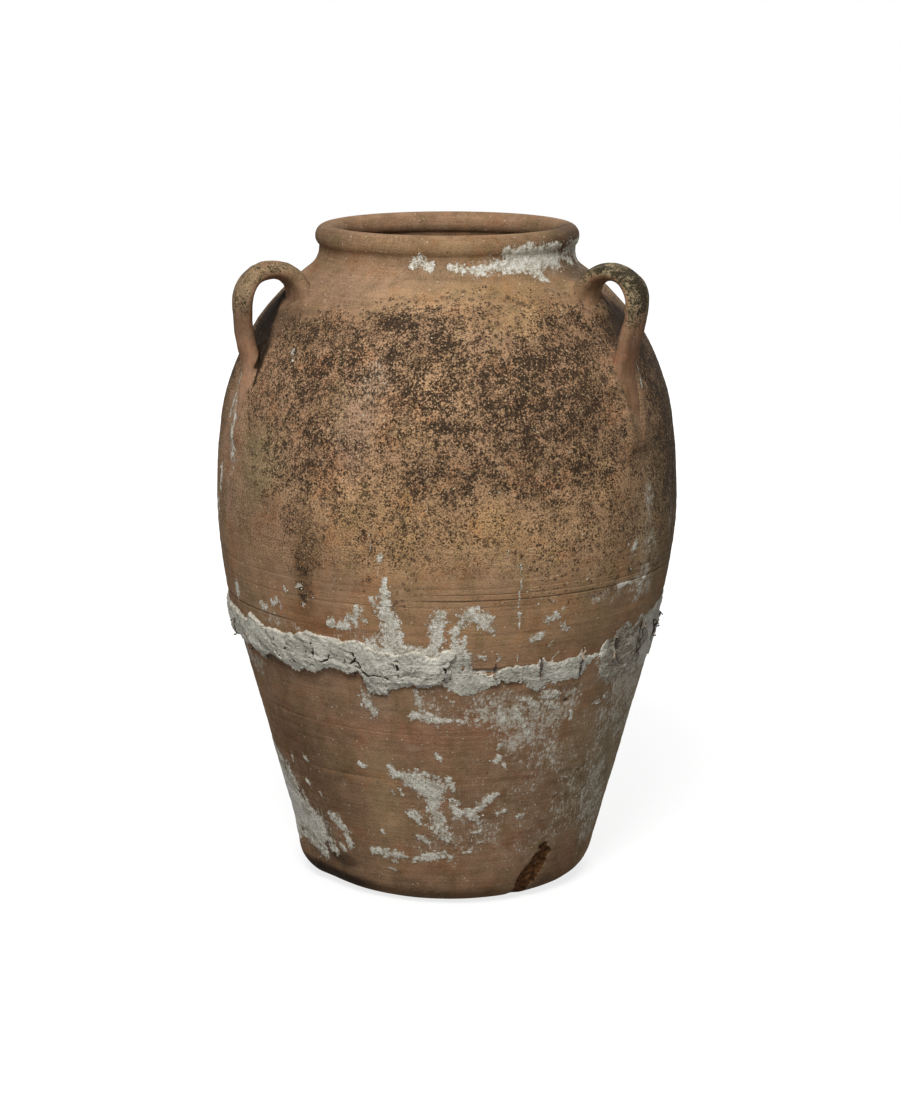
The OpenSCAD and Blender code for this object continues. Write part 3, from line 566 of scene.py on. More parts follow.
def buildLichen():
    # Dark crusts in small grains that run together where they are dense, with a brown film round them
    tree, given, result = newGroup("darkLichen", [("Place", vectorKind, None), ("Density", number, 0.5)],
                                   [("Mask", number), ("Film", number), ("Fleck", number), ("Shade", colourKind),
                                    ("Height", number)])
    place, density = given["Place"], given["Density"]
    grains = noiseAt(tree, place, 500, 2, 0.55)
    knots = noiseAt(tree, place, 270, 2, 0.6)
    clumps = noiseAt(tree, place, 115, 3, 0.6)
    drifts = noiseAt(tree, place, 36, 4, 0.62)
    level = weighted(tree, [(grains, 0.95), (knots, 0.58), (clumps, 0.58), (drifts, 0.56)])
    root = calc(tree, "SQRT", calc(tree, "MAXIMUM", density, 0.0))
    edge = calc(tree, "MULTIPLY_ADD", root, -0.5, 1.8)
    level = calc(tree, "SUBTRACT", level, edge)
    mask = remap(tree, level, -0.02, 0.035)
    # Round colonies: the denser the crust, the more cells hold one
    shaken = noiseAt(tree, place, 700, 2, 0.6)
    push = put(tree, "ShaderNodeVectorMath", {0: (0.0016, 0.0016, -0.0016), "Scale": shaken}, operation="SCALE")
    bent = put(tree, "ShaderNodeVectorMath", {0: place, 1: push.outputs[0]}).outputs[0]
    share = weighted(tree, [(root, 0.95), (clumps, 1.7), (drifts, 1.6)])
    share = calc(tree, "SUBTRACT", share, 1.92)
    colonies = calc(tree, "MAXIMUM", dots(tree, bent, 330, 0.34, 0.48, share), dots(tree, bent, 620, 0.4, 0.6, share))
    mask = calc(tree, "MAXIMUM", mask, colonies)
    mask = calc(tree, "MULTIPLY", mask, remap(tree, density, 0.01, 0.08))
    lone = calc(tree, "MAXIMUM", dots(tree, place, 150, 0.2, 0.42, 0.4), dots(tree, place, 85, 0.22, 0.34, 0.4))
    lone = calc(tree, "MULTIPLY", lone, remap(tree, density, 0.03, 0.12))
    lone = calc(tree, "MULTIPLY", lone, remap(tree, grains, 0.36, 0.5))
    mask = calc(tree, "MAXIMUM", mask, calc(tree, "MULTIPLY", lone, 0.8))
    specks = dots(tree, place, 200, 0.12, 0.26, 0.14)
    mask = calc(tree, "MULTIPLY", mask, calc(tree, "SUBTRACT", 1.0, specks))
    film = calc(tree, "MULTIPLY", remap(tree, level, -0.15, 0.02), remap(tree, density, 0.02, 0.3, 0, 0.42))
    shade = mixColour(tree, remap(tree, level, -0.06, 0.1), toLinear(70, 55, 44), toLinear(36, 29, 24))
    shade = mixColour(tree, remap(tree, clumps, 0.5, 0.64, 0, 0.5), shade, toLinear(46, 43, 33))
    shade = mixColour(tree, remap(tree, shaken, 0.5, 0.62, 0, 0.7), shade, toLinear(98, 78, 60))
    tree.links.new(calc(tree, "MULTIPLY", mask, 0.94), result["Mask"])
    tree.links.new(film, result["Film"])
    fleck = calc(tree, "MAXIMUM", dots(tree, place, 390, 0.18, 0.36, 0.26), dots(tree, bent, 240, 0.14, 0.28, 0.14))
    tree.links.new(calc(tree, "MULTIPLY", fleck, remap(tree, density, 0.08, 0.35, 0, 0.9)), result["Fleck"])
    tree.links.new(shade, result["Shade"])
    tree.links.new(calc(tree, "MULTIPLY", mask, grains), result["Height"])
    return tree


def buildLime():
    # Dried lime. Cover is 0 at a crust's edge, 1 inside and -1 outside; Wash is thin lime left in brushed streaks
    tree, given, result = newGroup("driedLime", [
        ("Place", vectorKind, None), ("Cover", number, -3.0), ("Wash", number, 0.0)],
        [("Mask", number), ("Colour", colourKind), ("Height", number), ("Rim", number), ("Haze", number)])
    place = given["Place"]
    ragged = noiseAt(tree, place, 240, 5, 0.72)
    crumbs = noiseAt(tree, place, 640, 3, 0.7)
    blotches = noiseAt(tree, place, 60, 4, 0.6)
    cover = weighted(tree, [(calc(tree, "SUBTRACT", ragged, 0.5), 5.5), (calc(tree, "SUBTRACT", crumbs, 0.5), 3.0),
                            (calc(tree, "SUBTRACT", blotches, 0.5), 2.0), (given["Cover"], 1.0)])
    crust = remap(tree, cover, -0.05, 0.1)
    holes = calc(tree, "MULTIPLY", dots(tree, place, 260, 0.14, 0.3, 0.3), remap(tree, given["Cover"], 2.4, 0.4))
    crust = calc(tree, "MULTIPLY", crust, calc(tree, "SUBTRACT", 1.0, holes))
    streaks = noiseAt(tree, stretched(tree, place, 440, 440, 100), 1, 6, 0.76)
    wash = calc(tree, "SQRT", calc(tree, "MAXIMUM", given["Wash"], 0.0))
    thin = weighted(tree, [(streaks, 1.15), (ragged, 0.6), (blotches, 0.45)])
    thin = calc(tree, "MULTIPLY_ADD", wash, 0.5, thin)
    thin = calc(tree, "MULTIPLY", remap(tree, thin, 1.49, 1.59), remap(tree, wash, 0.08, 0.5, 0, 0.74))
    thin = calc(tree, "MULTIPLY", thin, remap(tree, crumbs, 0.34, 0.52, 0.5, 1))
    # A dark ring round the crusts: damp, and painted shade at their foot
    dampAndShadeRim = calc(tree, "MULTIPLY", remap(tree, cover, -1.3, -0.2), remap(tree, ragged, 0.46, 0.6, 0, 0.2))
    bright = remap(tree, weighted(tree, [(blotches, 0.6), (ragged, 0.4)]), 0.42, 0.58)
    colour = mixColour(tree, bright, toLinear(188, 182, 165), toLinear(228, 224, 210))
    colour = mixColour(tree, remap(tree, given["Cover"], 1.3, 2.6, 0, 0.7), colour, toLinear(242, 239, 229))
    colour = mixColour(tree, remap(tree, cover, 0.9, 0.0, 0, 0.35), colour, toLinear(184, 170, 150))
    colour = mixColour(tree, remap(tree, crumbs, 0.5, 0.62, 0, 0.72), colour, toLinear(138, 121, 98))
    colour = mixColour(tree, remap(tree, ragged, 0.54, 0.62, 0, 0.65), colour, toLinear(236, 234, 226))
    uneven = weighted(tree, [(calc(tree, "SUBTRACT", ragged, 0.4), 1.6), (calc(tree, "SUBTRACT", crumbs, 0.42), 1.4)])
    height = calc(tree, "MULTIPLY", crust, uneven)
    tree.links.new(calc(tree, "MAXIMUM", crust, thin), result["Mask"])
    tree.links.new(colour, result["Colour"])
    tree.links.new(height, result["Height"])
    tree.links.new(calc(tree, "MULTIPLY", dampAndShadeRim, calc(tree, "SUBTRACT", 1.0, crust)), result["Rim"])
    haze = calc(tree, "MULTIPLY", remap(tree, wash, 0.35, 1.0, 0, 0.45), remap(tree, blotches, 0.38, 0.6))
    tree.links.new(haze, result["Haze"])
    return tree


firedClay, darkLichen, driedLime = buildFiredClay(), buildLichen(), buildLime()


def fillGroup(tree, group, inputs):
    node = tree.nodes.new("ShaderNodeGroup")
    node.node_tree = group
    for key, value in inputs.items():
        if isinstance(value, bpy.types.NodeSocket):
            tree.links.new(value, node.inputs[key])
        else:
            node.inputs[key].default_value = value
    return node.outputs


def startMaterial(name, rough):
    material = bpy.data.materials.new(name)
    material.use_nodes = True
    tree = material.node_tree
    surface = tree.nodes["Principled BSDF"]
    surface.inputs["Roughness"].default_value = rough
    surface.inputs["Specular IOR Level"].default_value = 0.06
    place = put(tree, "ShaderNodeTexCoord").outputs["Object"]
    return material, tree, surface, place


def finishMaterial(tree, surface, colour, height, strength, distance):
    tree.links.new(colour, surface.inputs["Base Color"])
    bump = put(tree, "ShaderNodeBump", {"Height": height, "Strength": strength, "Distance": distance})
    tree.links.new(bump.outputs["Normal"], surface.inputs["Normal"])


def layer(tree, name, output="Fac"):
    return put(tree, "ShaderNodeAttribute", attribute_name=name).outputs[output]


def clayMaterial(name, grit, crustTint, film, flecks, lines):
    material, tree, surface, place = startMaterial(name, 0.86)
    lime = fillGroup(tree, driedLime, {"Place": place, "Cover": layer(tree, "lime"), "Wash": layer(tree, "wash")})
    # Grime with painted shade, and the dark ring round the lime crusts
    soil = calc(tree, "MAXIMUM", layer(tree, "soil"), lime["Rim"])
    body = fillGroup(tree, firedClay, {"Place": place, "Ground": layer(tree, "ground", "Color"),
                                       "Lines": stretched(tree, place, *lines),
                                       "Grain": layer(tree, "grain"), "Grit": grit, "Soil": soil})
    crust = fillGroup(tree, darkLichen, {"Place": place, "Density": layer(tree, "lichen")})
    # Stains and painted shade darken the clay
    colour = tinted(tree, layer(tree, "stain"), body["Colour"], (0.42, 0.4, 0.37))
    colour = tinted(tree, remap(tree, layer(tree, "lichen"), 0.1, 0.5), colour, (1.18, 1.17, 1.14))
    colour = mixColour(tree, crust["Film"], colour, film)
    colour = mixColour(tree, crust["Mask"], colour, tinted(tree, 1.0, crust["Shade"], crustTint))
    fleck = calc(tree, "MULTIPLY", crust["Fleck"], remap(tree, soil, 0.0, 0.5, flecks, 0.0))
    colour = mixColour(tree, fleck, colour, toLinear(190, 160, 122))
    colour = mixColour(tree, lime["Haze"], colour, toLinear(150, 140, 122))
    spall = remap(tree, weighted(tree, [(layer(tree, "spall"), 1.0), (noiseAt(tree, place, 160, 4, 0.7), 2.0)]), 0.85, 1.05)
    flesh = mixColour(tree, remap(tree, noiseAt(tree, place, 220, 4, 0.7), 0.35, 0.65), toLinear(46, 30, 19),
                      toLinear(112, 76, 45))
    colour = mixColour(tree, spall, colour, flesh)
    colour = mixColour(tree, lime["Mask"], colour, lime["Colour"])
    height = weighted(tree, [(lime["Height"], 0.8), (body["Height"], 1.0), (crust["Height"], 0.5)])
    finishMaterial(tree, surface, colour, height, 0.7, 1.0 * mm)
    return material


def mortarMaterial(name):
    # Lime mortar, smoothed by hand and weathered; grime and painted shade sit in its cracks and holes, painted shade
    # under its lower edge, and thin lets the clay through
    material, tree, surface, place = startMaterial(name, 0.92)
    broad = noiseAt(tree, place, 30, 4, 0.6)
    middle = noiseAt(tree, place, 120, 5, 0.7)
    fine = noiseAt(tree, place, 480, 3, 0.65)
    dragged = noiseAt(tree, put(tree, "ShaderNodeMapping", {
        "Vector": place, "Rotation": (0, 0.5, 0), "Scale": (110, 110, 420)}).outputs["Vector"], 1, 4, 0.68)
    colour = mixColour(tree, remap(tree, broad, 0.36, 0.62), toLinear(188, 184, 170), toLinear(220, 216, 202))
    colour = mixColour(tree, remap(tree, middle, 0.52, 0.7, 0, 0.5), colour, toLinear(150, 139, 120))
    colour = mixColour(tree, remap(tree, dragged, 0.52, 0.66, 0, 0.6), colour, toLinear(222, 217, 204))
    colour = mixColour(tree, remap(tree, fine, 0.56, 0.76, 0, 0.55), colour, toLinear(118, 104, 86))
    bare = mixColour(tree, remap(tree, dragged, 0.42, 0.58), toLinear(132, 116, 95), toLinear(180, 172, 154))
    worn = remap(tree, weighted(tree, [(layer(tree, "thin"), 1.0), (middle, 1.6)]), 1.3, 1.9, 0, 0.85)
    colour = mixColour(tree, worn, colour, bare)
    # Painted highlight: the band's top edge is painted lighter
    edge = layer(tree, "lip")
    colour = mixColour(tree, calc(tree, "MULTIPLY", edge, remap(tree, middle, 0.42, 0.56, 0.05, 0.5)), colour,
                       toLinear(222, 210, 190))
    ridge = calc(tree, "ABSOLUTE", calc(tree, "SUBTRACT", dragged, 0.5))
    pulled = noiseAt(tree, put(tree, "ShaderNodeMapping", {
        "Vector": place, "Rotation": (0, 0.9, 0), "Scale": (90, 90, 300)}).outputs["Vector"], 1, 3, 0.6)
    second = calc(tree, "ABSOLUTE", calc(tree, "SUBTRACT", pulled, 0.48))
    wrinkle = calc(tree, "MULTIPLY", remap(tree, ridge, 0.0, 0.024, 1, 0), remap(tree, middle, 0.46, 0.53))
    wrinkle = calc(tree, "MAXIMUM", wrinkle, calc(tree, "MULTIPLY", remap(tree, second, 0.0, 0.012, 1, 0),
                                                  remap(tree, middle, 0.48, 0.4)))
    # Dark lines painted in the wrinkles: grime, and painted shade in their folds
    colour = mixColour(tree, calc(tree, "MULTIPLY", wrinkle, 0.82), colour, toLinear(88, 76, 60))
    # Grime and painted shade in cracks, pits and below the lower edge
    dirt = remap(tree, weighted(tree, [(layer(tree, "dirt"), 1.0), (middle, 0.5)]), 0.5, 0.8)
    dirtAndShadeTone = mixColour(tree, fine, toLinear(34, 24, 17), toLinear(74, 54, 40))
    colour = mixColour(tree, calc(tree, "MULTIPLY", dirt, 0.94), colour, dirtAndShadeTone)
    height = weighted(tree, [(middle, 0.6), (fine, 0.8), (dragged, 0.9), (wrinkle, -0.4)])
    finishMaterial(tree, surface, colour, height, 0.9, 1.3 * mm)
    return material


def rustMaterial(name):
    material, tree, surface, place = startMaterial(name, 0.55)
    flakes = noiseAt(tree, place, 620, 4, 0.65)
    patches = noiseAt(tree, place, 130, 3, 0.6)
    colour = mixColour(tree, remap(tree, flakes, 0.35, 0.65), toLinear(24, 17, 13), toLinear(64, 41, 30))
    # Pale patches: lime traces on the wire, and painted highlights
    colour = mixColour(tree, remap(tree, patches, 0.56, 0.62, 0, 0.85), colour, toLinear(196, 172, 144))
    finishMaterial(tree, surface, colour, flakes, 0.6, 0.3 * mm)
    surface.inputs["Specular IOR Level"].default_value = 0.45
    return material


potMaterial = clayMaterial("firedClayPot", 1.0, (1.0, 1.0, 1.0), toLinear(98, 73, 54), 1.0, (10, 10, 420))
handleMaterial = clayMaterial("firedClayHandles", 0.6, (1.06, 1.2, 1.06), toLinear(112, 106, 84), 0.1, (260, 260, 14))
mortarSkin = mortarMaterial("limeMortar")
rustSkin = rustMaterial("rustyWire")
print("materials built")


# Strap handles, thumbed onto the shoulder
strap = {
    "azimuth": -64,
    "archRound": 32 * mm,
    "archDrop": 47 * mm,
    "inset": 14.5 * mm,
    "legRound": 200 * mm,
    "tailRound": 50 * mm,
    "width": 36 * mm,
    "thick": 17 * mm,
    "flare": 15 * mm,
    "tailLength": 58 * mm,
    "tailWidth": 23 * mm,
    "waist": 6 * mm,          # how much narrower it was squeezed low on the leg
    "sunk": 0.1,
    "startTurn": 215,
    "sections": 120,
    "sides": 56,
    "skirt": 8 * mm,          # height over the skin at which the clay begins to spread
    "spread": 3 * mm,
    "bury": 5 * mm,
    "lumps": 0.8 * mm,
}


def strapCentres():
    # Twelve steps over the arch, four down the leg, four through the hollow, five down the shoulder
    archAt = np.array([jar["bellyRadius"] - strap["inset"] - strap["archRound"], neckHeight - strap["archDrop"]])
    legAt = np.array([jar["bellyRadius"] - strap["inset"] - strap["legRound"], archAt[1]])
    seat = jar["shoulderCurve"] - strap["sunk"] * strap["thick"]
    tailAt = circlesMeet(shoulderAt, seat + strap["tailRound"], legAt, strap["legRound"] + strap["tailRound"])
    legTurn = angleOf(tailAt - legAt)
    tailTurn = angleOf(tailAt - shoulderAt)
    steps = np.linspace(0, 25, strap["sections"])
    centres = []
    for i in steps:
        if i <= 12:
            centre, reach, turn = archAt, strap["archRound"], math.radians(strap["startTurn"] * (1 - i / 12))
        elif i <= 16:
            centre, reach, turn = legAt, strap["legRound"], legTurn * (i - 12) / 4
        elif i <= 20:
            centre, reach, turn = tailAt, strap["tailRound"], math.pi + legTurn + (tailTurn - legTurn) * (i - 16) / 4
        else:
            turn = tailTurn - (i - 20) / 5 * strap["tailLength"] / jar["shoulderCurve"]
            centre, reach = shoulderAt, seat - strap["thick"] * 0.085 * (i - 20)
        centres.append(centre + reach * np.array([math.cos(turn), math.sin(turn)]))
    return np.array(centres), steps / 25


def buildHandle(name, azimuth, node, look):
    centres, share = strapCentres()
    heading = np.gradient(centres, axis=0)
    heading /= np.linalg.norm(heading, axis=1)[:, None]
    wide = (strap["width"] + strap["flare"] * (1 - smooth(share, 0, 0.32)) + look["wider"] * smooth(share, 0.42, 0.64)
            - strap["waist"] * (smooth(share, 0.4, 0.6) - smooth(share, 0.74, 0.96))
            - (strap["width"] - strap["tailWidth"]) * smooth(share, 0.62, 0.96))
    thick = strap["thick"] * (1 + 0.4 * (1 - smooth(share, 0, 0.3)))
    turn = np.linspace(0, 2 * math.pi, strap["sides"], endpoint=False)
    across = np.sign(np.cos(turn)) * np.abs(np.cos(turn)) ** 0.8 * wide[:, None] / 2
    # Finger marks run along the strap: a ridge in the middle with a groove to each side
    ridge = 1 + 0.09 * np.exp(-((np.cos(turn) - 0.1) / 0.3) ** 2) - 0.06 * np.exp(-((np.abs(np.cos(turn) - 0.06) - 0.5) / 0.2) ** 2)
    out = np.sign(np.sin(turn)) * np.abs(np.sin(turn)) ** 0.9 * ridge * thick[:, None] / 2
    radial = centres[:, 0:1] - heading[:, 1:2] * out
    z = centres[:, 1:2] + heading[:, 0:1] * out
    pulled = look["bend"] * smooth(share, 0.42, 0.64) * (1 - look["back"] * smooth(share, 0.72, 0.9))
    side = across + pulled[:, None] + 0 * z
    lump = fuzz(np.stack([radial, side, z + azimuth], -1), 24 * mm, 3, azimuth * 0.1)
    grow = 1 + lump * strap["lumps"] / (strap["thick"] / 2)
    radial = centres[:, 0:1] + (radial - centres[:, 0:1]) * grow
    z = centres[:, 1:2] + (z - centres[:, 1:2]) * grow
    side = side * grow
    # Where the strap meets the pot it spreads out, and what would lie deep in the wall is drawn up
    for _ in range(2):
        reach = np.hypot(radial, side)
        acrossShare, upShare = outwards(z)
        over = (reach - outerRadius(z)) * acrossShare
        normal = np.stack([acrossShare * radial / reach, acrossShare * side / reach, upShare], -1)
        away = np.stack([radial - centres[:, 0:1], side, z - centres[:, 1:2]], -1)
        away -= (away * normal).sum(-1, keepdims=True) * normal
        away /= np.linalg.norm(away, axis=-1, keepdims=True) + 1e-6
        push = np.clip(1 - over / strap["skirt"], 0, 1.35) ** 2 * strap["spread"] / 2 * (1 + 0.5 * lump)
        push *= 1 - 0.7 * smooth(share, 0.5, 0.6)[:, None]
        moved = np.stack([radial, side, z], -1) + away * push[..., None]
        deep = np.clip(-strap["bury"] - over, 0, None)
        moved += normal * deep[..., None]
        radial, side, z = moved[..., 0], moved[..., 1], moved[..., 2]
    angle = math.radians(azimuth)
    points = np.stack([radial * math.sin(angle) + side * math.cos(angle),
                       -radial * math.cos(angle) + side * math.sin(angle), z], -1)
    rows, sides = strap["sections"], strap["sides"]
    faces = [*ringFaces(rows, sides, False), tuple(range(sides - 1, -1, -1)),
             tuple(range((rows - 1) * sides, rows * sides))]
    piece = addPiece(name, points, faces, handleMaterial, [node])
    around = azimuthOf(points)
    movedTurn, movedHeight = wander(around, z)
    onTop = smooth(z, 616 * mm, 652 * mm) * smooth(np.sin(turn) + 0 * z, -0.4, 0.3)
    onTop *= 0.25 + 0.75 * smooth(share, 0.1, 0.26)[:, None]
    filmed = (look["filmed"] * onTop)[..., None]
    ground = groundColourAndShade(around, z, look["ground"]) * (1 - filmed) + np.array(look["film"]) * filmed
    storeColour(piece, "ground", ground)
    fromSkin = (np.hypot(points[..., 0], points[..., 1]) - outerRadius(z)) / mm
    atSkin = (1 - smooth(fromSkin, 1, 6)) * 0.3 * patchField(movedTurn, movedHeight, lichenPatches)
    blotched = 0.5 + 0.9 * smooth(fuzz(points, 13 * mm, 3, 8.8), -0.25, 0.35)
    storeValues(piece, "lichen", np.clip(look["lichen"] * onTop * blotched + look["leg"] + atSkin, 0, 1.8))
    storeValues(piece, "grain", 0.1 + 0.4 * onTop)
    low = 1 - smooth(z, 585 * mm, 610 * mm)
    storeValues(piece, "lime", strokeField(movedTurn, movedHeight, limeStrokes, limeSpread) * low - 3 * (1 - low))
    storeValues(piece, "wash", patchField(movedTurn, movedHeight, washPatches) * 0.8 * low)
    # Darker on the strap's underside: painted shade, with stained blotches
    storeValues(piece, "stain", 0.22 * smooth(fuzz(points, 45 * mm, 2, 3.7), 0.0, 0.5) + 0.25 * smooth(-np.sin(turn) + 0 * z, 0, 0.8))
    # Painted shade where the strap sits in the fold beside the wall
    foldShade = smooth(strokeField(around, z, shadedFoldStrokes), -1.2, 0.8) * (1 - smooth(fromSkin, 0, 7))
    storeValues(piece, "soil", foldShade * smooth(z, 552 * mm, 562 * mm))
    storeValues(piece, "spall", 0 * z - 3)
    return points.reshape(-1, 3)


handleLooks = [
    ("left", {"ground": toLinear(152, 117, 90), "lichen": 0.4, "leg": 0.0, "film": toLinear(130, 120, 94), "filmed": 0.42,
              "wider": 0.0, "bend": -5 * mm, "back": 1.0}),
    ("right", {"ground": toLinear(150, 114, 88), "lichen": 1.2, "leg": 0.0, "film": toLinear(124, 118, 94), "filmed": 0.75,
               "wider": 7 * mm, "bend": -11 * mm, "back": 0.0}),
    ("back", {"ground": toLinear(148, 116, 88), "lichen": 0.8, "leg": 0.03, "film": toLinear(120, 112, 88), "filmed": 0.6,
              "wider": 2 * mm, "bend": 3 * mm, "back": 0.0}),
]
handlePoints = np.concatenate([
    buildHandle(label + "Handle", strap["azimuth"] + 120 * order, "handle_" + label, look)
    for order, (label, look) in enumerate(handleLooks)])
handleTree = kdtree.KDTree(len(handlePoints))
for index, point in enumerate(handlePoints):
    handleTree.insert(point, index)
handleTree.balance()


# The two halves of the pot
shell = {
    "frontSpan": 96,          # degrees to each side of the front that have fine columns
    "frontColumns": 384,
    "backColumns": 84,
    "upperPitch": 3.1 * mm,
    "lowerPitch": 2.3 * mm,
    "innerPitch": 15 * mm,
    "edgeFray": 1.6 * mm,
    "limeThick": 0.7 * mm,
    "neckLimeThick": 0.8 * mm,
    "spallDeep": 2.6 * mm,
    "grooveWidth": 0.6,       # mm
    "filletReach": 15 * mm,
    "filletHeight": 5 * mm,
}


# Where the clay wasn't smoothed in beside a handle, so a fold is left
foldPatches = [(-60, 580, 6, 34, 1.0)]


def columnTurns():
    front = np.linspace(-shell["frontSpan"], shell["frontSpan"], shell["frontColumns"], endpoint=False)
    back = np.linspace(shell["frontSpan"], 360 - shell["frontSpan"], shell["backColumns"], endpoint=False)
    return np.concatenate([front, back])


def grooveDepth(azimuth, z):
    depth = np.zeros(azimuth.shape)
    for level, deep, start, end in grooves:
        waver = 0.8 * np.sin(np.radians(azimuth * 2 + level))
        along = smooth(azimuth, start, start + 14) * (1 - smooth(azimuth, end - 14, end))
        depth += deep * along * np.exp(-((z / mm - level - waver) / shell["grooveWidth"]) ** 2)
    return depth


def raisedByHandles(points):
    # The clay smeared up against the handles, by nearness to them
    raised = np.zeros(points.shape[:-1])
    near = points[..., 2] > 490 * mm
    for index in zip(*np.nonzero(near)):
        away = handleTree.find(points[index])[2]
        if away < shell["filletReach"]:
            raised[index] = (1 - away / shell["filletReach"]) ** 2
    return raised


def buildShell(name, profile, isOuter, isClosed, slot, node):
    turns = columnTurns()
    azimuth = np.tile(offAzimuth(turns, 0), (len(profile), 1))
    z = np.tile(profile[:, 1:2], (1, len(turns)))
    radius = np.tile(profile[:, 0:1], (1, len(turns)))
    outer = isOuter[:, None] * np.ones_like(azimuth)
    hidden = 1 - outer
    points = placed(azimuth, radius, z)
    movedTurn, movedHeight = wander(azimuth, z)
    lime = strokeField((azimuth + movedTurn) / 2, (z + movedHeight) / 2, limeStrokes, limeSpread) * outer - 3 * hidden
    spallTurn, spallHeight = azimuth + 0.3 * (movedTurn - azimuth), z + 0.3 * (movedHeight - z)
    spall = strokeField(spallTurn, spallHeight, spallStrokes) * outer - 3 * hidden
    # Painted shade in the handles' loops and folds, with sooty grime and sooty scuffs
    sootAndShade = np.maximum(patchField(azimuth, z, shadeAndSootPatches), 0.64 * smooth(strokeField(azimuth, z, shadedFoldStrokes), -3, 1))
    sootAndShade = np.maximum(sootAndShade, 0.5 * smooth(strokeField(movedTurn, movedHeight, scuffStrokes), -0.8, 0.9))
    groove = grooveDepth(azimuth, z) * outer
    above = 1.0 if isClosed else 0.0
    relief = skinRelief(azimuth, z, above) - groove * mm
    limeThick = np.where(z > 655 * mm, shell["neckLimeThick"], shell["limeThick"])
    rough = 1 + 0.8 * fuzz(points, 7 * mm, 3, 6.1)
    relief += limeThick * smooth(lime, -0.2, 1.2) * rough
    relief -= shell["spallDeep"] * smooth(spall, -0.3, 0.9) * rough
    fillet = raisedByHandles(points) * outer if isClosed else 0 * z
    fillet = fillet * (1 - patchField(azimuth, z, foldPatches))
    relief += shell["filletHeight"] * fillet
    relief *= outer
    acrossShare, upShare = outwards(z)
    radius = radius + relief * acrossShare
    z = z + relief * upShare
    nearBreak = np.exp(-(np.abs(z - jar["breakHeight"]) / (5 * mm)) ** 2)
    z = z + nearBreak * shell["edgeFray"] * fuzz(placed(azimuth, 0.23 + 0 * z, 0 * z), 9 * mm, 3, 1.4) * outer
    points = placed(azimuth, radius, z)
    faces = ringFaces(len(profile), len(turns), isClosed)
    if not isClosed:
        low, high = len(profile) * len(turns), len(profile) * len(turns) + 1
        points = np.concatenate([points.reshape(-1, 3), [[0, 0, profile[0, 1]], [0, 0, profile[-1, 1]]]])
        last = (len(profile) - 1) * len(turns)
        for j in range(len(turns)):
            k = (j + 1) % len(turns)
            faces.append((low, k, j))
            faces.append((high, last + j, last + k))
    piece = addPiece(name, points, faces, potMaterial, [node])

    def store(label, values):
        flat = values.reshape(-1, *values.shape[2:])
        poles = np.zeros((0 if isClosed else 2, *flat.shape[1:]))
        (storeColour if label == "ground" else storeValues)(piece, label, np.concatenate([flat, poles]))

    drift = 0.14 * fuzz(points.reshape(-1, 3)[:azimuth.size], 32 * mm, 3, 6.6).reshape(azimuth.shape)
    density = patchField(movedTurn, movedHeight, lichenPatches)
    store("ground", groundColourAndShade(azimuth, z, plainClay))
    density = np.clip(density + drift * smooth(density, 0.05, 0.3), 0, 1) * (1 - 0.8 * smooth(fillet, 0.1, 0.7))
    store("lichen", density * outer)
    grain = smooth(z, 372 * mm, 400 * mm) * (1 - 0.8 * smooth(z, 570 * mm, 640 * mm))
    store("grain", (0.22 + 0.78 * grain) * outer + 0.3 * hidden)
    store("lime", lime)
    store("wash", patchField(movedTurn, movedHeight, washPatches) * outer)
    # Inner and under faces get painted shade, fading out up the neck
    store("stain", patchField(azimuth, z, stainAndShadePatches) * outer + 0.35 * hidden * (1 - smooth(z, 620 * mm, 690 * mm)))
    # Painted shade: a dark line under the roll at the mouth; grooves are darkened with grime and painted shade
    underRimShade = 0.35 * np.exp(-((z - neckHeight) / (1.8 * mm)) ** 2)
    store("soil", np.clip(groove * 0.8, 0, 0.5) + (sootAndShade + underRimShade) * outer)
    store("spall", spall)
    return piece


def levelsBetween(low, high, pitch):
    # Rows from low to high, with closer ones across each groove
    levels = np.linspace(low, high, round((high - low) / pitch) + 1)
    cuts = [level * mm for level, _, _, _ in grooves if low + 3 * mm < level * mm < high - 3 * mm]
    for cut in cuts:
        levels = levels[(np.abs(levels - cut) > 2.4 * mm) | (levels == low) | (levels == high)]
    extra = [cut + step * mm for cut in cuts for step in (-2, -1, -0.3, 0.4, 1.1, 2)]
    return np.array(sorted([*levels, *extra]))


def upperProfile():
    bottom = jar["breakHeight"] + jar["bed"] / 2
    up = levelsBetween(bottom, neckHeight - 4 * mm, shell["upperPitch"])
    under = -math.acos((jar["neckRadius"] - rollRadius) / (jar["rimRoll"] / 2))
    behind = math.acos((jar["neckRadius"] - jar["wall"] - rollRadius) / (jar["rimRoll"] / 2))
    roll = arcPoints((rollRadius, rollHeight), jar["rimRoll"] / 2, under, 2 * math.pi - behind, 24)
    down = np.linspace(neckHeight - 4 * mm, bottom, round((neckHeight - bottom) / shell["innerPitch"]))
    profile = np.concatenate([np.stack([outerRadius(up), up], 1), roll, np.stack([innerRadius(down), down], 1)])
    isOuter = np.concatenate([np.ones(len(up)), smooth(np.linspace(1, 0, len(roll)), 0, 0.5), np.zeros(len(down))])
    return profile, isOuter


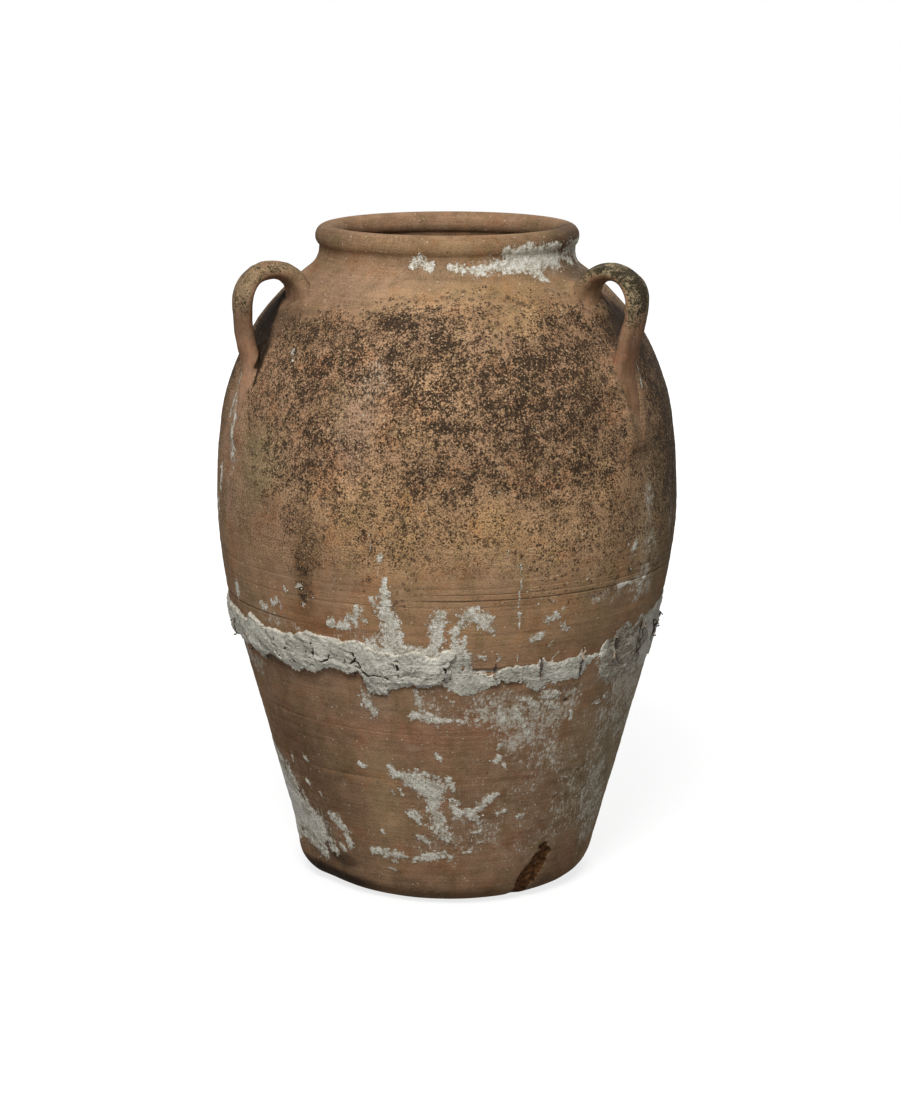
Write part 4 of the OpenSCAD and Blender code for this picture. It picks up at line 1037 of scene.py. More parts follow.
def lowerProfile():
    top = jar["breakHeight"] - jar["bed"] / 2
    under = np.stack([np.linspace(0.01, jar["footRadius"], 7)[:-1], np.zeros(6)], 1)
    heel = arcPoints(heelAt, jar["heelRound"], -math.pi / 2, -wallLean, 18)
    up = levelsBetween(heel[-1, 1], top, shell["lowerPitch"])[1:]
    down = np.linspace(top, 16 * mm, round(top / shell["innerPitch"]))
    floor = np.stack([np.linspace(0.01, innerRadius(16 * mm) - 8 * mm, 7)[::-1], np.full(7, jar["wall"])], 1)
    profile = np.concatenate([under, heel, np.stack([outerRadius(up), up], 1),
                              np.stack([innerRadius(down), down], 1), floor])
    isOuter = np.concatenate([np.zeros(6), smooth(np.arange(19), 0, 5), np.ones(len(up)), np.zeros(len(down) + 7)])
    return profile, isOuter


buildShell("upperPot", *upperProfile(), True, "clay_upper", "upper_body")
buildShell("lowerPot", *lowerProfile(), False, "clay_lower", "lower_body")


# Mortar laid by hand over the break. Each table goes round by azimuth, in degrees and mm
bandTop = [
    (-180, 307), (-150, 311), (-120, 306), (-95, 308), (-82, 309), (-76.8, 310.5), (-70, 310), (-67.6, 308), (-65.2, 305),
    (-62.6, 305), (-60.6, 316), (-59.2, 313.5), (-57, 310.5), (-53.4, 304.5), (-49.6, 306.5), (-46, 305), (-43.8, 307),
    (-42, 306), (-39.6, 310), (-37.2, 313), (-33.4, 310.5), (-30.8, 311), (-26.8, 308.5), (-23.8, 311), (-21.8, 309.5),
    (-20.4, 306), (-17.6, 300.5), (-14.6, 301.5), (-12.8, 299), (-9.4, 303), (-7.8, 305), (-6.4, 302.5), (-4, 296.5),
    (-2.2, 298), (-1.4, 305.5), (0.6, 306), (2, 303), (3.4, 304), (5.4, 302.5), (5.8, 291.5), (6.4, 281), (10, 279.5),
    (10.7, 276), (12.4, 278), (14.2, 283.5), (16.4, 284), (18.8, 284), (21.2, 284), (23.6, 284), (24.1, 291), (25.8, 287),
    (27, 284), (29.8, 284), (32.4, 284), (35.6, 286), (36.4, 296), (37.2, 288), (38.2, 285), (40, 284), (43, 284),
    (43.8, 290.5), (46.4, 302), (50.4, 306.5), (55.8, 311), (60, 315), (64.8, 311), (70.2, 313.5), (80, 311), (100, 307),
    (130, 311), (155, 308), (180, 307)]
bandBottom = [
    (-180, 255), (-150, 253), (-120, 256), (-95, 262), (-81, 273), (-76, 284), (-72.6, 282.5), (-68.4, 276), (-63.4, 279.5),
    (-61.8, 274), (-57.8, 268.5), (-57, 268.5), (-56.2, 273), (-52.6, 279), (-49.8, 275), (-47.2, 273), (-45, 268.5),
    (-42.6, 264.5), (-41.4, 268.5), (-39.4, 272.5), (-37, 268.5), (-35.4, 271), (-32.8, 276.5), (-31, 279.5), (-29.2, 277),
    (-26.8, 275), (-25, 275.5), (-23.6, 278), (-22.2, 272), (-21.8, 262), (-21.4, 254.5), (-19.8, 253), (-16, 254.5),
    (-14.8, 259), (-13.2, 261.5), (-11.6, 263.5), (-9.8, 264), (-6, 263), (-3.8, 265), (-1.4, 267), (-0.6, 262), (0.4, 258),
    (3.4, 252.5), (7.4, 255), (10.9, 261.5), (11.2, 266), (12.4, 265.5), (14, 269.5), (15.8, 267.5), (18.4, 268), (20, 265),
    (21.4, 258.5), (23.6, 253.5), (24.6, 255), (27.8, 262), (30, 260), (34, 262), (37, 262), (39, 270), (41, 277),
    (43.4, 272), (45, 258), (47, 251), (52, 248), (58.6, 246), (67.6, 243), (80, 246), (95, 252), (130, 254), (155, 255),
    (180, 255)]
bandThick = [
    (-180, 6), (-150, 7), (-120, 5), (-90, 4.6), (-82, 4.4), (-72, 4.2), (-60, 4.8), (-50, 5), (-40, 5.5), (-30, 4.6), (-24, 4.4),
    (-20, 4.8), (-14, 4.6), (-5, 5.4), (2, 5.6)]
plateThick = [
    (-2, 1.5), (6, 1.4), (10.5, 1.6), (11.2, 3), (14, 2.8), (20, 2.2), (25, 2.1), (27, 1.8), (36, 1.4), (38, 1.1), (41, 0.8),
    (44, 0.8), (55, 0.9), (62, 1.2), (70, 1.5), (80, 1.8), (100, 5), (130, 5.5), (155, 7), (180, 6)]
slabEnd = [(262, -1.4), (268.5, -1.4), (282, 1), (287, 0), (294, 0.8), (301, 1.8), (310, 2.4)]  # height, azimuth
# Cracks and torn holes: half width and depth in mm, then azimuth and height of each point
cracks = [
    (0.9, 5, [(-49, 291.5), (-49.3, 285), (-48.6, 280.5), (-47.5, 278.5)]), (0.5, 2, [(-46, 294.5), (-43.8, 295.5), (-42.4, 292.5)]),
    (1.1, 5, [(-35.3, 297), (-36, 290.5), (-35.6, 285)]), (0.8, 3, [(-30.9, 291.5), (-31.3, 287), (-33.6, 283)]),
    (0.4, 2, [(-29.8, 290), (-28, 291.5)]), (0.8, 2, [(-49, 297.8), (-48.9, 297)]), (1.2, 3, [(-56.7, 288), (-56.4, 287)]),
    (0.8, 2, [(-43.1, 277.5), (-42.7, 277.4)]), (0.9, 2, [(-36, 302.7), (-35.8, 302)]), (0.7, 2, [(-45.5, 290.5), (-45, 290.7)]),
    (1.4, 5, [(-77, 301), (-76, 297)]), (0.8, 3, [(-66, 287), (-64.6, 288)]), (0.7, 3, [(-57.4, 271), (-57.3, 266)]),
    (0.8, 3, [(-24.2, 297), (-23.4, 291.5)]), (1, 5, [(-23.4, 291.5), (-24.8, 284.5)]),
    (1.2, 6, [(-23.4, 291.5), (-22.6, 285.5), (-21.7, 279)]), (1.8, 6, [(-21.7, 279), (-20.4, 272.5)]),
    (0.7, 3, [(-23.7, 284), (-22, 280.6)]), (0.6, 3, [(-20.4, 272.5), (-18.6, 275), (-16.8, 273.8), (-15.2, 272.5)]),
    (1.3, 6, [(-12.8, 292.6), (-12.4, 291.8)]), (1.1, 6, [(-12.6, 286.5), (-12.5, 283)]),
    (0.45, 2, [(-13.8, 277), (-11.6, 276.6), (-9.6, 277.5)]), (0.45, 2, [(-9.4, 276), (-7.6, 276.5)]),
    (0.4, 1.6, [(-19.8, 291.5), (-18.2, 292.5)]), (0.5, 2, [(-11.6, 273.6), (-11.2, 271.5)]), (0.5, 2, [(-14.2, 289.5), (-13.4, 289)]),
    (0.4, 1.4, [(-15.8, 283), (-14.4, 283.6)]), (0.5, 2, [(-9, 262.4), (-7, 264)]), (1, 4, [(-0.5, 287.2), (-0.3, 285)]),
    (0.4, 1.4, [(-6, 281.5), (-3.6, 280.8)]), (0.4, 1.4, [(-5, 274.5), (-2.4, 275.5)]), (0.35, 1.2, [(-40, 279), (-37.2, 276)]),
    (0.35, 1.2, [(-27.6, 289), (-26.4, 289.6)]), (0.4, 1.4, [(-62, 297), (-60.4, 294)]), (0.5, 1.4, [(-52, 283.5), (-50.4, 281)]),
    (0.45, 4, [(24.6, 279.8), (24.5, 271.5)]), (0.4, 1, [(10.9, 281), (11, 277)]), (0.5, 2, [(26.6, 266), (28, 265)]),
    (0.9, 3, [(36.9, 290), (36.5, 266)]), (0.5, 1.6, [(60.9, 272), (62.6, 259)]), (1.2, 3, [(61.4, 302), (61.2, 288), (60.9, 272)]),
    (0.8, 2, [(49.2, 297), (49.2, 282)]), (0.6, 2, [(-100, 290), (-97, 284), (-93, 282)]), (0.6, 2, [(104, 292), (109, 286), (116, 287)]),
    (0.7, 3, [(-132, 290), (-128, 278)]), (0.6, 2, [(150, 276), (158, 273), (164, 277)]), (0.6, 2, [(-170, 292), (-163, 288)]),
]
ties = {
    "count": 29,
    "first": -0.4,
    "span": 33 * mm,
    "wire": 1.6 * mm,
    "strandGap": 0.85 * mm,
    "deep": 14 * mm,
}
daub = {
    "frontSpan": 92,
    "frontStep": 0.26,
    "backStep": 0.9,
    "low": 239 * mm,
    "high": 321 * mm,
    "pitch": 1.15 * mm,
    "sunk": 2.2 * mm,         # how deep the sheet lies where no mortar shows
    "back": 4 * mm,           # how deep its unseen back lies
    "lumps": 0.45,            # mm, as are the next ones
    "flakes": 0.75,
    "folds": 0.5,
    "sand": 0.36,
    "sharp": 42,              # degrees between faces at which an edge looks broken, not smooth
}


def tieAzimuths():
    return [ties["first"] + 360 * i / ties["count"] for i in range(ties["count"])]


def alongTable(table, at):
    return np.interp(at, [row[0] for row in table], [row[1] for row in table])


def crackField(azimuth, level):
    # Nearness to the cracks, from 0 to 1, and how deep they go there in mm
    near, deep = np.zeros(azimuth.shape), np.zeros(azimuth.shape)
    reach = np.radians(1) * outerRadius(jar["breakHeight"]) / mm
    for half, depth, route in cracks:
        for (startTurn, startHeight), (endTurn, endHeight) in zip(route, route[1:]):
            x, y = offAzimuth(azimuth, startTurn) * reach, level - startHeight
            dx, dy = (endTurn - startTurn) * reach, endHeight - startHeight
            t = np.clip((x * dx + y * dy) / (dx * dx + dy * dy), 0, 1)
            share = 1 - smooth(np.hypot(x - t * dx, y - t * dy), 0.3 * half, 0.85 * half + 0.6)
            open = smooth(half, 0.3, 0.8)
            near = np.maximum(near, share * (0.35 + 0.65 * open))
            deep = np.maximum(deep, share * depth * (0.3 + 0.7 * open))
    return near, deep


def slanted(azimuth, level, lean, along, across):
    # Places for noise that runs in folds: lean in degrees down to the right, lengths in mm
    x = np.radians(azimuth) * outerRadius(jar["breakHeight"]) / mm
    turn = np.radians(lean)
    return np.stack([(x * np.cos(turn) - level * np.sin(turn)) / along,
                     (x * np.sin(turn) + level * np.cos(turn)) / across, 0 * x], -1)


def mortarHeight(azimuth, z):
    # Height of the mortar over the skin in mm, and how dirty and shaded (painted shade), thin and sharp-edged it is
    skinPoints = onSkin(azimuth, z, 0 * z)
    loose = smooth(azimuth, 38, 46)
    level = z / mm + 1.5 * fuzz(skinPoints, 9 * mm, 3, 4.7) + 1.2 * fuzz(skinPoints, 3.5 * mm, 2, 2.9)
    feather = smooth(azimuth, -26, -21) * (1 - smooth(azimuth, 0, 3))
    level += 1.6 * smooth(azimuth, 8, 14) * fuzz(skinPoints, 6 * mm, 4, 8.2)
    level += loose * 6 * fuzz(skinPoints, 22 * mm, 4, 6.1) + feather * 3 * fuzz(skinPoints, 8 * mm, 4, 2.7) * (z < 268 * mm)
    turned = azimuth + 0.4 * fuzz(skinPoints, 9 * mm, 3, 8.3)
    over, under = alongTable(bandTop, turned) - level, level - alongTable(bandBottom, turned)
    under += 1.4 * fuzz(skinPoints, 5 * mm, 3, 5.9)
    fromEnd = (alongTable(slabEnd, level) - turned) * 4.2
    isSlab = (fromEnd > 0) & (azimuth > -179)
    thick = np.where(isSlab, alongTable(bandThick, azimuth), alongTable(plateThick, azimuth))
    edge = np.minimum(over, under)
    body = np.clip((thick - 1.2) / 3.5, 0, 1)
    fromTop = 0.56 + 0.44 * (1 - np.exp(-np.clip(over, 0, None) / 6))
    fromBottom = 0.8 + 0.2 * (1 - np.exp(-np.clip(under, 0, None) / 4))
    # The low plate in front is a thinner one
    fromBottom *= 1 - feather * 0.26 * (1 - smooth(level, 263, 268))
    fromBottom *= 1 - feather * 0.4 * (1 - smooth(under, 0, 6))
    height = thick * fromTop * fromBottom
    lean = np.interp(azimuth, [-90, -40, -24, -14, 0, 12, 40, 90], [34, 30, 34, 8, -12, 12, 24, 30])
    folds = fuzz(slanted(azimuth, z / mm, lean, 15, 3.2), 1, 3, 2.1)
    flakes = fuzz(slanted(azimuth, z / mm, lean, 22, 8), 1, 3, 6.4)
    height += daub["lumps"] * body * fuzz(skinPoints, 18 * mm, 3, 1.9)
    height += daub["folds"] * body * folds
    height += daub["flakes"] * body * (smooth(flakes, -0.02, 0.05) - 0.5)
    height += daub["flakes"] * 0.7 * body * (smooth(flakes, 0.3, 0.36) - 0.3)
    height += daub["sand"] * (0.5 + 0.5 * body) * fuzz(skinPoints, 3 * mm, 3, 3.3)
    # A raised edge along the top, which the material paints lighter as a highlight
    lip = np.exp(-((over - 0.8) / 1.1) ** 2) * smooth(body, 0.1, 0.5)
    height += 0.5 * lip
    near, deep = crackField(azimuth + 0.3 * fuzz(skinPoints, 4 * mm, 2, 7.1), level)
    height -= np.minimum(deep, np.maximum(height - 0.3, 0))
    # Open pits round the ties, darkened with painted shade
    for turn in tieAzimuths():
        x = np.abs(np.radians(offAzimuth(azimuth, turn))) * outerRadius(z) / mm
        y = np.abs(z - jar["breakHeight"]) / mm
        open = np.abs(offAzimuth(turn, 0)) > 65
        pit = (1 - smooth(x, 1.2, 3.4)) * (1 - smooth(y, 9, 15)) * open
        near = np.maximum(near, 0.7 * pit)
        height -= 0.7 * pit * height
    # Thin plaster is worn through in patches
    worn = (1 - body) * (2.2 * fuzz(skinPoints, 11 * mm, 4, 9.4) + 0.9 * fuzz(skinPoints, 4 * mm, 3, 1.1))
    left = height + worn - 0.5 * (1 - body) * smooth(-edge, -7, 0)
    shown = (edge > 0) & (left > 0.1)
    height = np.where(body < 0.3, 0.35 + 0.35 * np.clip(left, 0, 3) * smooth(edge, 0, 3), np.minimum(height, left + 0.4))
    height = np.where(shown, np.maximum(height, 0.3), np.maximum(-daub["sunk"] / mm, np.minimum(edge, left) * 1.6))
    # The broken lower edge hangs over a little
    droop = np.where(shown, np.exp(-np.clip(under, 0, None) / 1.6) * np.clip(height - 1, 0, None) * 0.35, 0)
    bareness = 0.16 + 0.84 * smooth(azimuth, 40, 47) * (1 - 0.22 * smooth(azimuth, 58, 66) - 0.45 * smooth(azimuth, 65, 71))
    thin = np.where(shown, 1 - smooth(height, 0.8, 2.2), 1) * bareness
    # Grime and painted shade in cracks and pits; painted shade on the sunk sheet below the lower edge
    dirt = np.maximum(near, np.where(shown, 0, np.where(under < 0, 0.9, 0.2)))
    return height * mm, droop * mm, dirt, thin, lip * shown


def buildMortar():
    front = np.arange(-daub["frontSpan"], daub["frontSpan"], daub["frontStep"])
    back = np.arange(daub["frontSpan"], 360 - daub["frontSpan"], daub["backStep"])
    turns = offAzimuth(np.concatenate([front, back]), 0)
    levels = np.arange(daub["low"], daub["high"], daub["pitch"])
    azimuth, z = np.meshgrid(turns, levels)
    height, droop, dirt, thin, lip = mortarHeight(azimuth, z)
    # It fills the corner where one half stands out past the other
    above = (z > jar["breakHeight"]) * 1.0
    ledge = slumpAt(azimuth, z)
    fill = np.maximum(np.where(above > 0, ledge, -ledge), 0) * (1 - smooth(np.abs(z - jar["breakHeight"]), 0, 14 * mm))
    base = skinRelief(azimuth, z, above) + fill
    face = onSkin(azimuth, z, base + height)
    face[..., 2] -= droop
    ends = np.array([levels[-1], levels[0]])
    backTurn, backLevel = np.meshgrid(turns, ends)
    hidden = onSkin(backTurn, backLevel, -daub["back"] + 0 * backTurn)
    points = np.concatenate([face, hidden])
    piece = addPiece("mortarBand", points, ringFaces(len(points), len(turns), True), mortarSkin,
                     ["outer_mortar"])
    for label, values in (("dirt", dirt), ("thin", thin), ("lip", lip)):
        storeValues(piece, label, np.concatenate([values, np.ones((2, len(turns)))]))
    piece.data.set_sharp_from_angle(angle=math.radians(daub["sharp"]))


def buildInnerMortar():
    # Pressed on from inside by hand, it covers the inner runs of the wires
    low, high = (v[2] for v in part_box("inner_mortar"))
    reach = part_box("inner_mortar")[1][0]
    turns = np.arange(0, 360, 1.6)
    steps = np.linspace(0, math.pi, 22)
    rise = (high - low) / 2
    azimuth, step = np.meshgrid(turns, steps)
    z = (low + high) / 2 - rise * np.cos(step)
    wall = innerRadius(z)
    lumps = fuzz(placed(azimuth, 0.2 + 0 * z, z), 26 * mm, 4, 5.5)
    thick = inner["thick"] * np.sin(step) ** 0.5 * (1 + 0.35 * lumps) - 1 * mm
    face = placed(azimuth, np.minimum(wall - thick, reach), z)
    hidden = placed(azimuth[[-1, 0]], wall[[-1, 0]] + 3 * mm, z[[-1, 0]])
    points = np.concatenate([face, hidden])
    faces = [tuple(reversed(f)) for f in ringFaces(len(points), len(turns), True)]
    piece = addPiece("innerMortar", points, faces, mortarSkin, ["inner_mortar"])
    for label, value in (("dirt", 0.25), ("thin", 0.3), ("lip", 0)):
        storeValues(piece, label, np.full(len(turns) * len(points), float(value)))


inner = {"thick": 9 * mm}
buildMortar()
buildInnerMortar()


# Wire ties, twisted over the break; Geometry Nodes place and bend them.
# For the ones in view: kind (0 twist, 1 fork, 2 stub), lean in degrees, stretch, lift in mm, shift along the wall in mm
tieLooks = {
    -50: (2, 6, 0.62, 0.2, 3), -38: (2, -3, 0.6, 0.2, 7), -25: (2, 16, 0.7, 0.3, 2), -13: (2, 2, 0.5, 0.2, 5),
    0: (2, -20, 0.55, 3.2, -6), 12: (2, -6, 0.5, 0.9, -1), 24: (0, 3, 0.72, 1.0, -2), 37: (0, -3, 0.98, 0.9, -1),
    49: (1, 1, 1.0, 0.9, 0), 62: (0, 3, 1.1, 1.1, 4), 74: (2, 0, 0.6, -0.4, 4), 86: (2, 0, 0.6, -0.4, 0),
    99: (2, 6, 0.6, 0, 2), -62: (2, 10, 0.6, 3, 2), -75: (2, -30, 0.8, 4.2, 10),
}


def tiePath(phase, kind):
    # One strand: out of its hole, round the other strand, and off as a loose end
    half = ties["span"] / 2
    out = ties["strandGap"] + ties["wire"] / 2
    path = [(-ties["deep"], 0, phase * half), (-3 * mm, 0, phase * half), (-0.4 * mm, 0, phase * (half - 0.4 * mm))]
    twisted = {0: 1.0, 1: 0.55, 2: 0.9}[kind]
    turnsRound = {0: 2.6, 1: 1.3, 2: 1.6}[kind]
    for i in range(25):
        t = i / 24
        turn = math.pi * (0.5 - 0.5 * phase) + 2 * math.pi * turnsRound * t
        end = 1 - twisted * 2 if phase > 0 else 1 - 2 * (1 - twisted)
        start = 1 if phase > 0 else -1
        level = start + (end - start) * t if kind != 1 or phase > 0 else -0.1 + (0.97 + 0.1) * t
        path.append((out + ties["strandGap"] * math.cos(turn), ties["strandGap"] * math.sin(turn),
                     (half - 2 * mm) * level))
    if kind == 0:
        path += [(out + 0.6 * mm, phase * 0.7 * mm, -phase * (half - 0.4 * mm)),
                 (out + 0.8 * mm, phase * 1.5 * mm, -phase * (half + 1.2 * mm))]
    elif kind == 1 and phase > 0:
        path += [(out, 6 * mm, -0.5 * half), (out - 0.6 * mm, 14 * mm, -1.02 * half)]
    elif kind == 1:
        path = [(-ties["deep"], 0, -half), (-3 * mm, 0, -half), (0, -0.5 * mm, -half + 1 * mm),
                (out, -2.4 * mm, -0.6 * half), (out, -0.6 * mm, -0.1 * half)] + path[3:]
    else:
        path += [(out + 1.8 * mm, phase * 1.2 * mm, -phase * (half - 3 * mm)),
                 (out + 3.6 * mm, phase * 2.0 * mm, -phase * (half - 5 * mm))]
    return path


def tieCurve(kind):
    name = "tieStrands%d" % kind
    curve = bpy.data.curves.new(name, "CURVE")
    curve.dimensions = "3D"
    half = ties["span"] / 2
    inner = [(-ties["deep"], 0, half), (-ties["deep"] - 1.2 * mm, 0, half - 2 * mm),
             (-ties["deep"] - 1.2 * mm, 0, 2 * mm - half), (-ties["deep"], 0, -half)]
    for path in (tiePath(1, kind), tiePath(-1, kind), inner):
        spline = curve.splines.new("POLY")
        spline.points.add(len(path) - 1)
        for point, at in zip(spline.points, path):
            point.co = (*at, 1)
    tie = bpy.data.objects.new(name, curve)
    bpy.context.scene.collection.objects.link(tie)
    return tie


# Geometry Nodes helpers

def newGeometryTree(name, sizes):
    tree = bpy.data.node_groups.new(name, "GeometryNodeTree")
    tree.interface.new_socket("Geometry", in_out="INPUT", socket_type="NodeSocketGeometry")
    for label, value in sizes.items():
        kind = "NodeSocketInt" if isinstance(value, int) else number
        tree.interface.new_socket(label, in_out="INPUT", socket_type=kind).default_value = value
    tree.interface.new_socket("Geometry", in_out="OUTPUT", socket_type="NodeSocketGeometry")
    return tree, tree.nodes.new("NodeGroupInput").outputs, tree.nodes.new("NodeGroupOutput").inputs


def stored(tree, name, kind="FLOAT"):
    return put(tree, "GeometryNodeInputNamedAttribute", {"Name": name}, data_type=kind).outputs["Attribute"]


def vector(tree, x, y, z):
    return put(tree, "ShaderNodeCombineXYZ", {0: x, 1: y, 2: z}).outputs[0]


def realised(tree, geometry, material, result):
    real = put(tree, "GeometryNodeRealizeInstances", {"Geometry": geometry})
    dressed = put(tree, "GeometryNodeSetMaterial", {"Geometry": real.outputs["Geometry"], "Material": material})
    tree.links.new(dressed.outputs["Geometry"], result["Geometry"])


def spotsObject(name, points):
    mesh = bpy.data.meshes.new(name)
    mesh.from_pydata(points.tolist(), [], [])
    piece = bpy.data.objects.new(name, mesh)
    bpy.context.scene.collection.objects.link(piece)
    return piece


def applyTree(piece, tree, sizes, replaced=()):
    # The tree's result becomes the piece's plain mesh
    modifier = piece.modifiers.new(tree.name, "NODES")
    modifier.node_group = tree
    for item in tree.interface.items_tree:
        if item.in_out == "INPUT" and item.name in sizes:
            modifier[item.identifier] = sizes[item.name]
    bpy.context.view_layer.update()
    plain = bpy.data.meshes.new_from_object(piece.evaluated_get(bpy.context.evaluated_depsgraph_get()))
    piece.modifiers.clear()
    piece.data = plain
    plain.name = piece.name
    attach(piece, "root")
    if replaced:
        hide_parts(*replaced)
    plain.calc_loop_triangles()
    print(piece.name, len(plain.loop_triangles), "triangles")


def buildTies():
    z = jar["breakHeight"]
    turns = tieAzimuths()
    piece = spotsObject("wireTies", placed(np.array(turns), outerRadius(z) + np.zeros(len(turns)), z))
    looks = []
    for i, turn in enumerate(turns):
        other = (i % 3 // 2, 7 * math.sin(turn * 3.1), 0.85 + 0.12 * math.sin(turn * 1.7), 2.0, 2 * math.sin(turn * 2.3))
        looks.append(tieLooks.get(round(offAzimuth(turn, 0)), other))
    storeValues(piece, "turn", np.radians(np.array(turns) - 90))
    storeValues(piece, "kind", np.array([look[0] for look in looks]))
    storeValues(piece, "lean", np.radians([look[1] for look in looks]))
    storeValues(piece, "stretch", np.array([look[2] for look in looks]))
    storeValues(piece, "lift", np.array([look[3] for look in looks]) * mm)
    storeValues(piece, "shift", np.array([look[4] for look in looks]) * mm)
    strands = [tieCurve(kind) for kind in range(3)]

    sizes = {"Wire Diameter": ties["wire"], "Wall Lean": wallLean, "Kink": 0.7 * mm}
    tree, given, result = newGeometryTree("placeTies", sizes)
    kinds = put(tree, "GeometryNodeJoinGeometry")
    for strand in reversed(strands):
        source = put(tree, "GeometryNodeObjectInfo", {"Object": strand, "As Instance": True}, transform_space="ORIGINAL")
        tree.links.new(source.outputs["Geometry"], kinds.inputs["Geometry"])
    spin = put(tree, "FunctionNodeEulerToRotation", {0: vector(tree, stored(tree, "lean"), 0.0, 0.0)}).outputs[0]
    stand = put(tree, "FunctionNodeEulerToRotation", {0: vector(tree, 0.0, given["Wall Lean"], stored(tree, "turn"))})
    both = put(tree, "FunctionNodeRotateRotation", {"Rotation": stand.outputs[0], "Rotate By": spin},
               rotation_space="LOCAL")
    copies = put(tree, "GeometryNodeInstanceOnPoints", {
        "Points": given["Geometry"], "Instance": kinds.outputs["Geometry"], "Pick Instance": True,
        "Instance Index": stored(tree, "kind"), "Rotation": both.outputs[0],
        "Scale": vector(tree, 1.0, 1.0, stored(tree, "stretch"))})
    lifted = put(tree, "GeometryNodeTranslateInstances", {
        "Instances": copies.outputs["Instances"],
        "Translation": vector(tree, stored(tree, "lift"), 0.0, stored(tree, "shift")), "Local Space": True})
    loose = put(tree, "GeometryNodeRealizeInstances", {"Geometry": lifted.outputs["Instances"]})
    place = put(tree, "GeometryNodeInputPosition").outputs[0]
    waves = put(tree, "ShaderNodeTexNoise", {"Vector": place, "Scale": 160.0, "Detail": 1.0})
    centred = put(tree, "ShaderNodeVectorMath", {0: waves.outputs["Color"], 1: (0.5, 0.5, 0.5)},
                  operation="SUBTRACT").outputs[0]
    kinks = put(tree, "ShaderNodeVectorMath", {0: centred, "Scale": given["Kink"]}, operation="SCALE").outputs[0]
    bent = put(tree, "GeometryNodeSetPosition", {"Geometry": loose.outputs["Geometry"], "Offset": kinks})
    ring = put(tree, "GeometryNodeCurvePrimitiveCircle", {
        "Resolution": 8, "Radius": calc(tree, "MULTIPLY", given["Wire Diameter"], 0.5)})
    wires = put(tree, "GeometryNodeCurveToMesh", {"Curve": bent.outputs["Geometry"],
                                                  "Profile Curve": ring.outputs["Curve"], "Fill Caps": True})
    realised(tree, wires.outputs["Mesh"], rustSkin, result)
    applyTree(piece, tree, sizes, ["wire_tie_%02d" % (i + 1) for i in range(ties["count"])])
    for strand in strands:
        bpy.data.objects.remove(strand)


buildTies()


# Crumbs of lime and grit, stuck on round the splashes; Geometry Nodes scatter them
grit = {
    "seed": 11,
    "perStroke": 4,
    "reach": 5.0,             # mm beyond a splash's edge
    "smallest": 0.35,         # mm, half across
    "largest": 1.3,
}
# Scratches with lime in them: azimuth and height in mm at both ends, half width in mm
scratches = [(17.6, 327, 17.4, 346, 0.4), (17.3, 352, 17.2, 380, 0.26), (17.2, 384, 17.3, 400, 0.26),
             (17.8, 291, 17.7, 298, 0.36), (27.5, 288, 29.2, 296, 0.45), (60.5, 567, 61.2, 582, 0.35), (-16.4, 382, -16.2, 393, 0.3),
             (13.8, 404, 14.2, 411, 0.4), (-18.2, 408, -17.8, 416, 0.3)]
# Single crumbs: azimuth, height in mm, half size in mm
singleCrumbs = [(-2.4, 352, 0.8), (19, 366, 1), (13, 356, 0.9), (22, 352, 0.9), (33, 420, 0.8), (34, 402, 0.8), (35, 372, 1.4),
                (24.4, 395, 0.7), (26.5, 380, 0.8), (50, 372, 0.9), (-34, 352, 0.7), (-28, 362, 0.6), (-4.8, 452, 0.9), (12, 470, 0.8),
                (30, 505, 0.9), (21, 530, 0.7), (31, 560, 0.8), (-21, 545, 0.8), (6, 600, 0.7), (12.4, 300, 0.7), (9, 303, 0.6),
                (25.4, 236, 0.7), (31, 208, 0.8), (0, 212, 0.7), (-34, 228, 0.6), (-12, 205, 0.6), (-29, 118, 0.7), (29.5, 117, 0.8)]


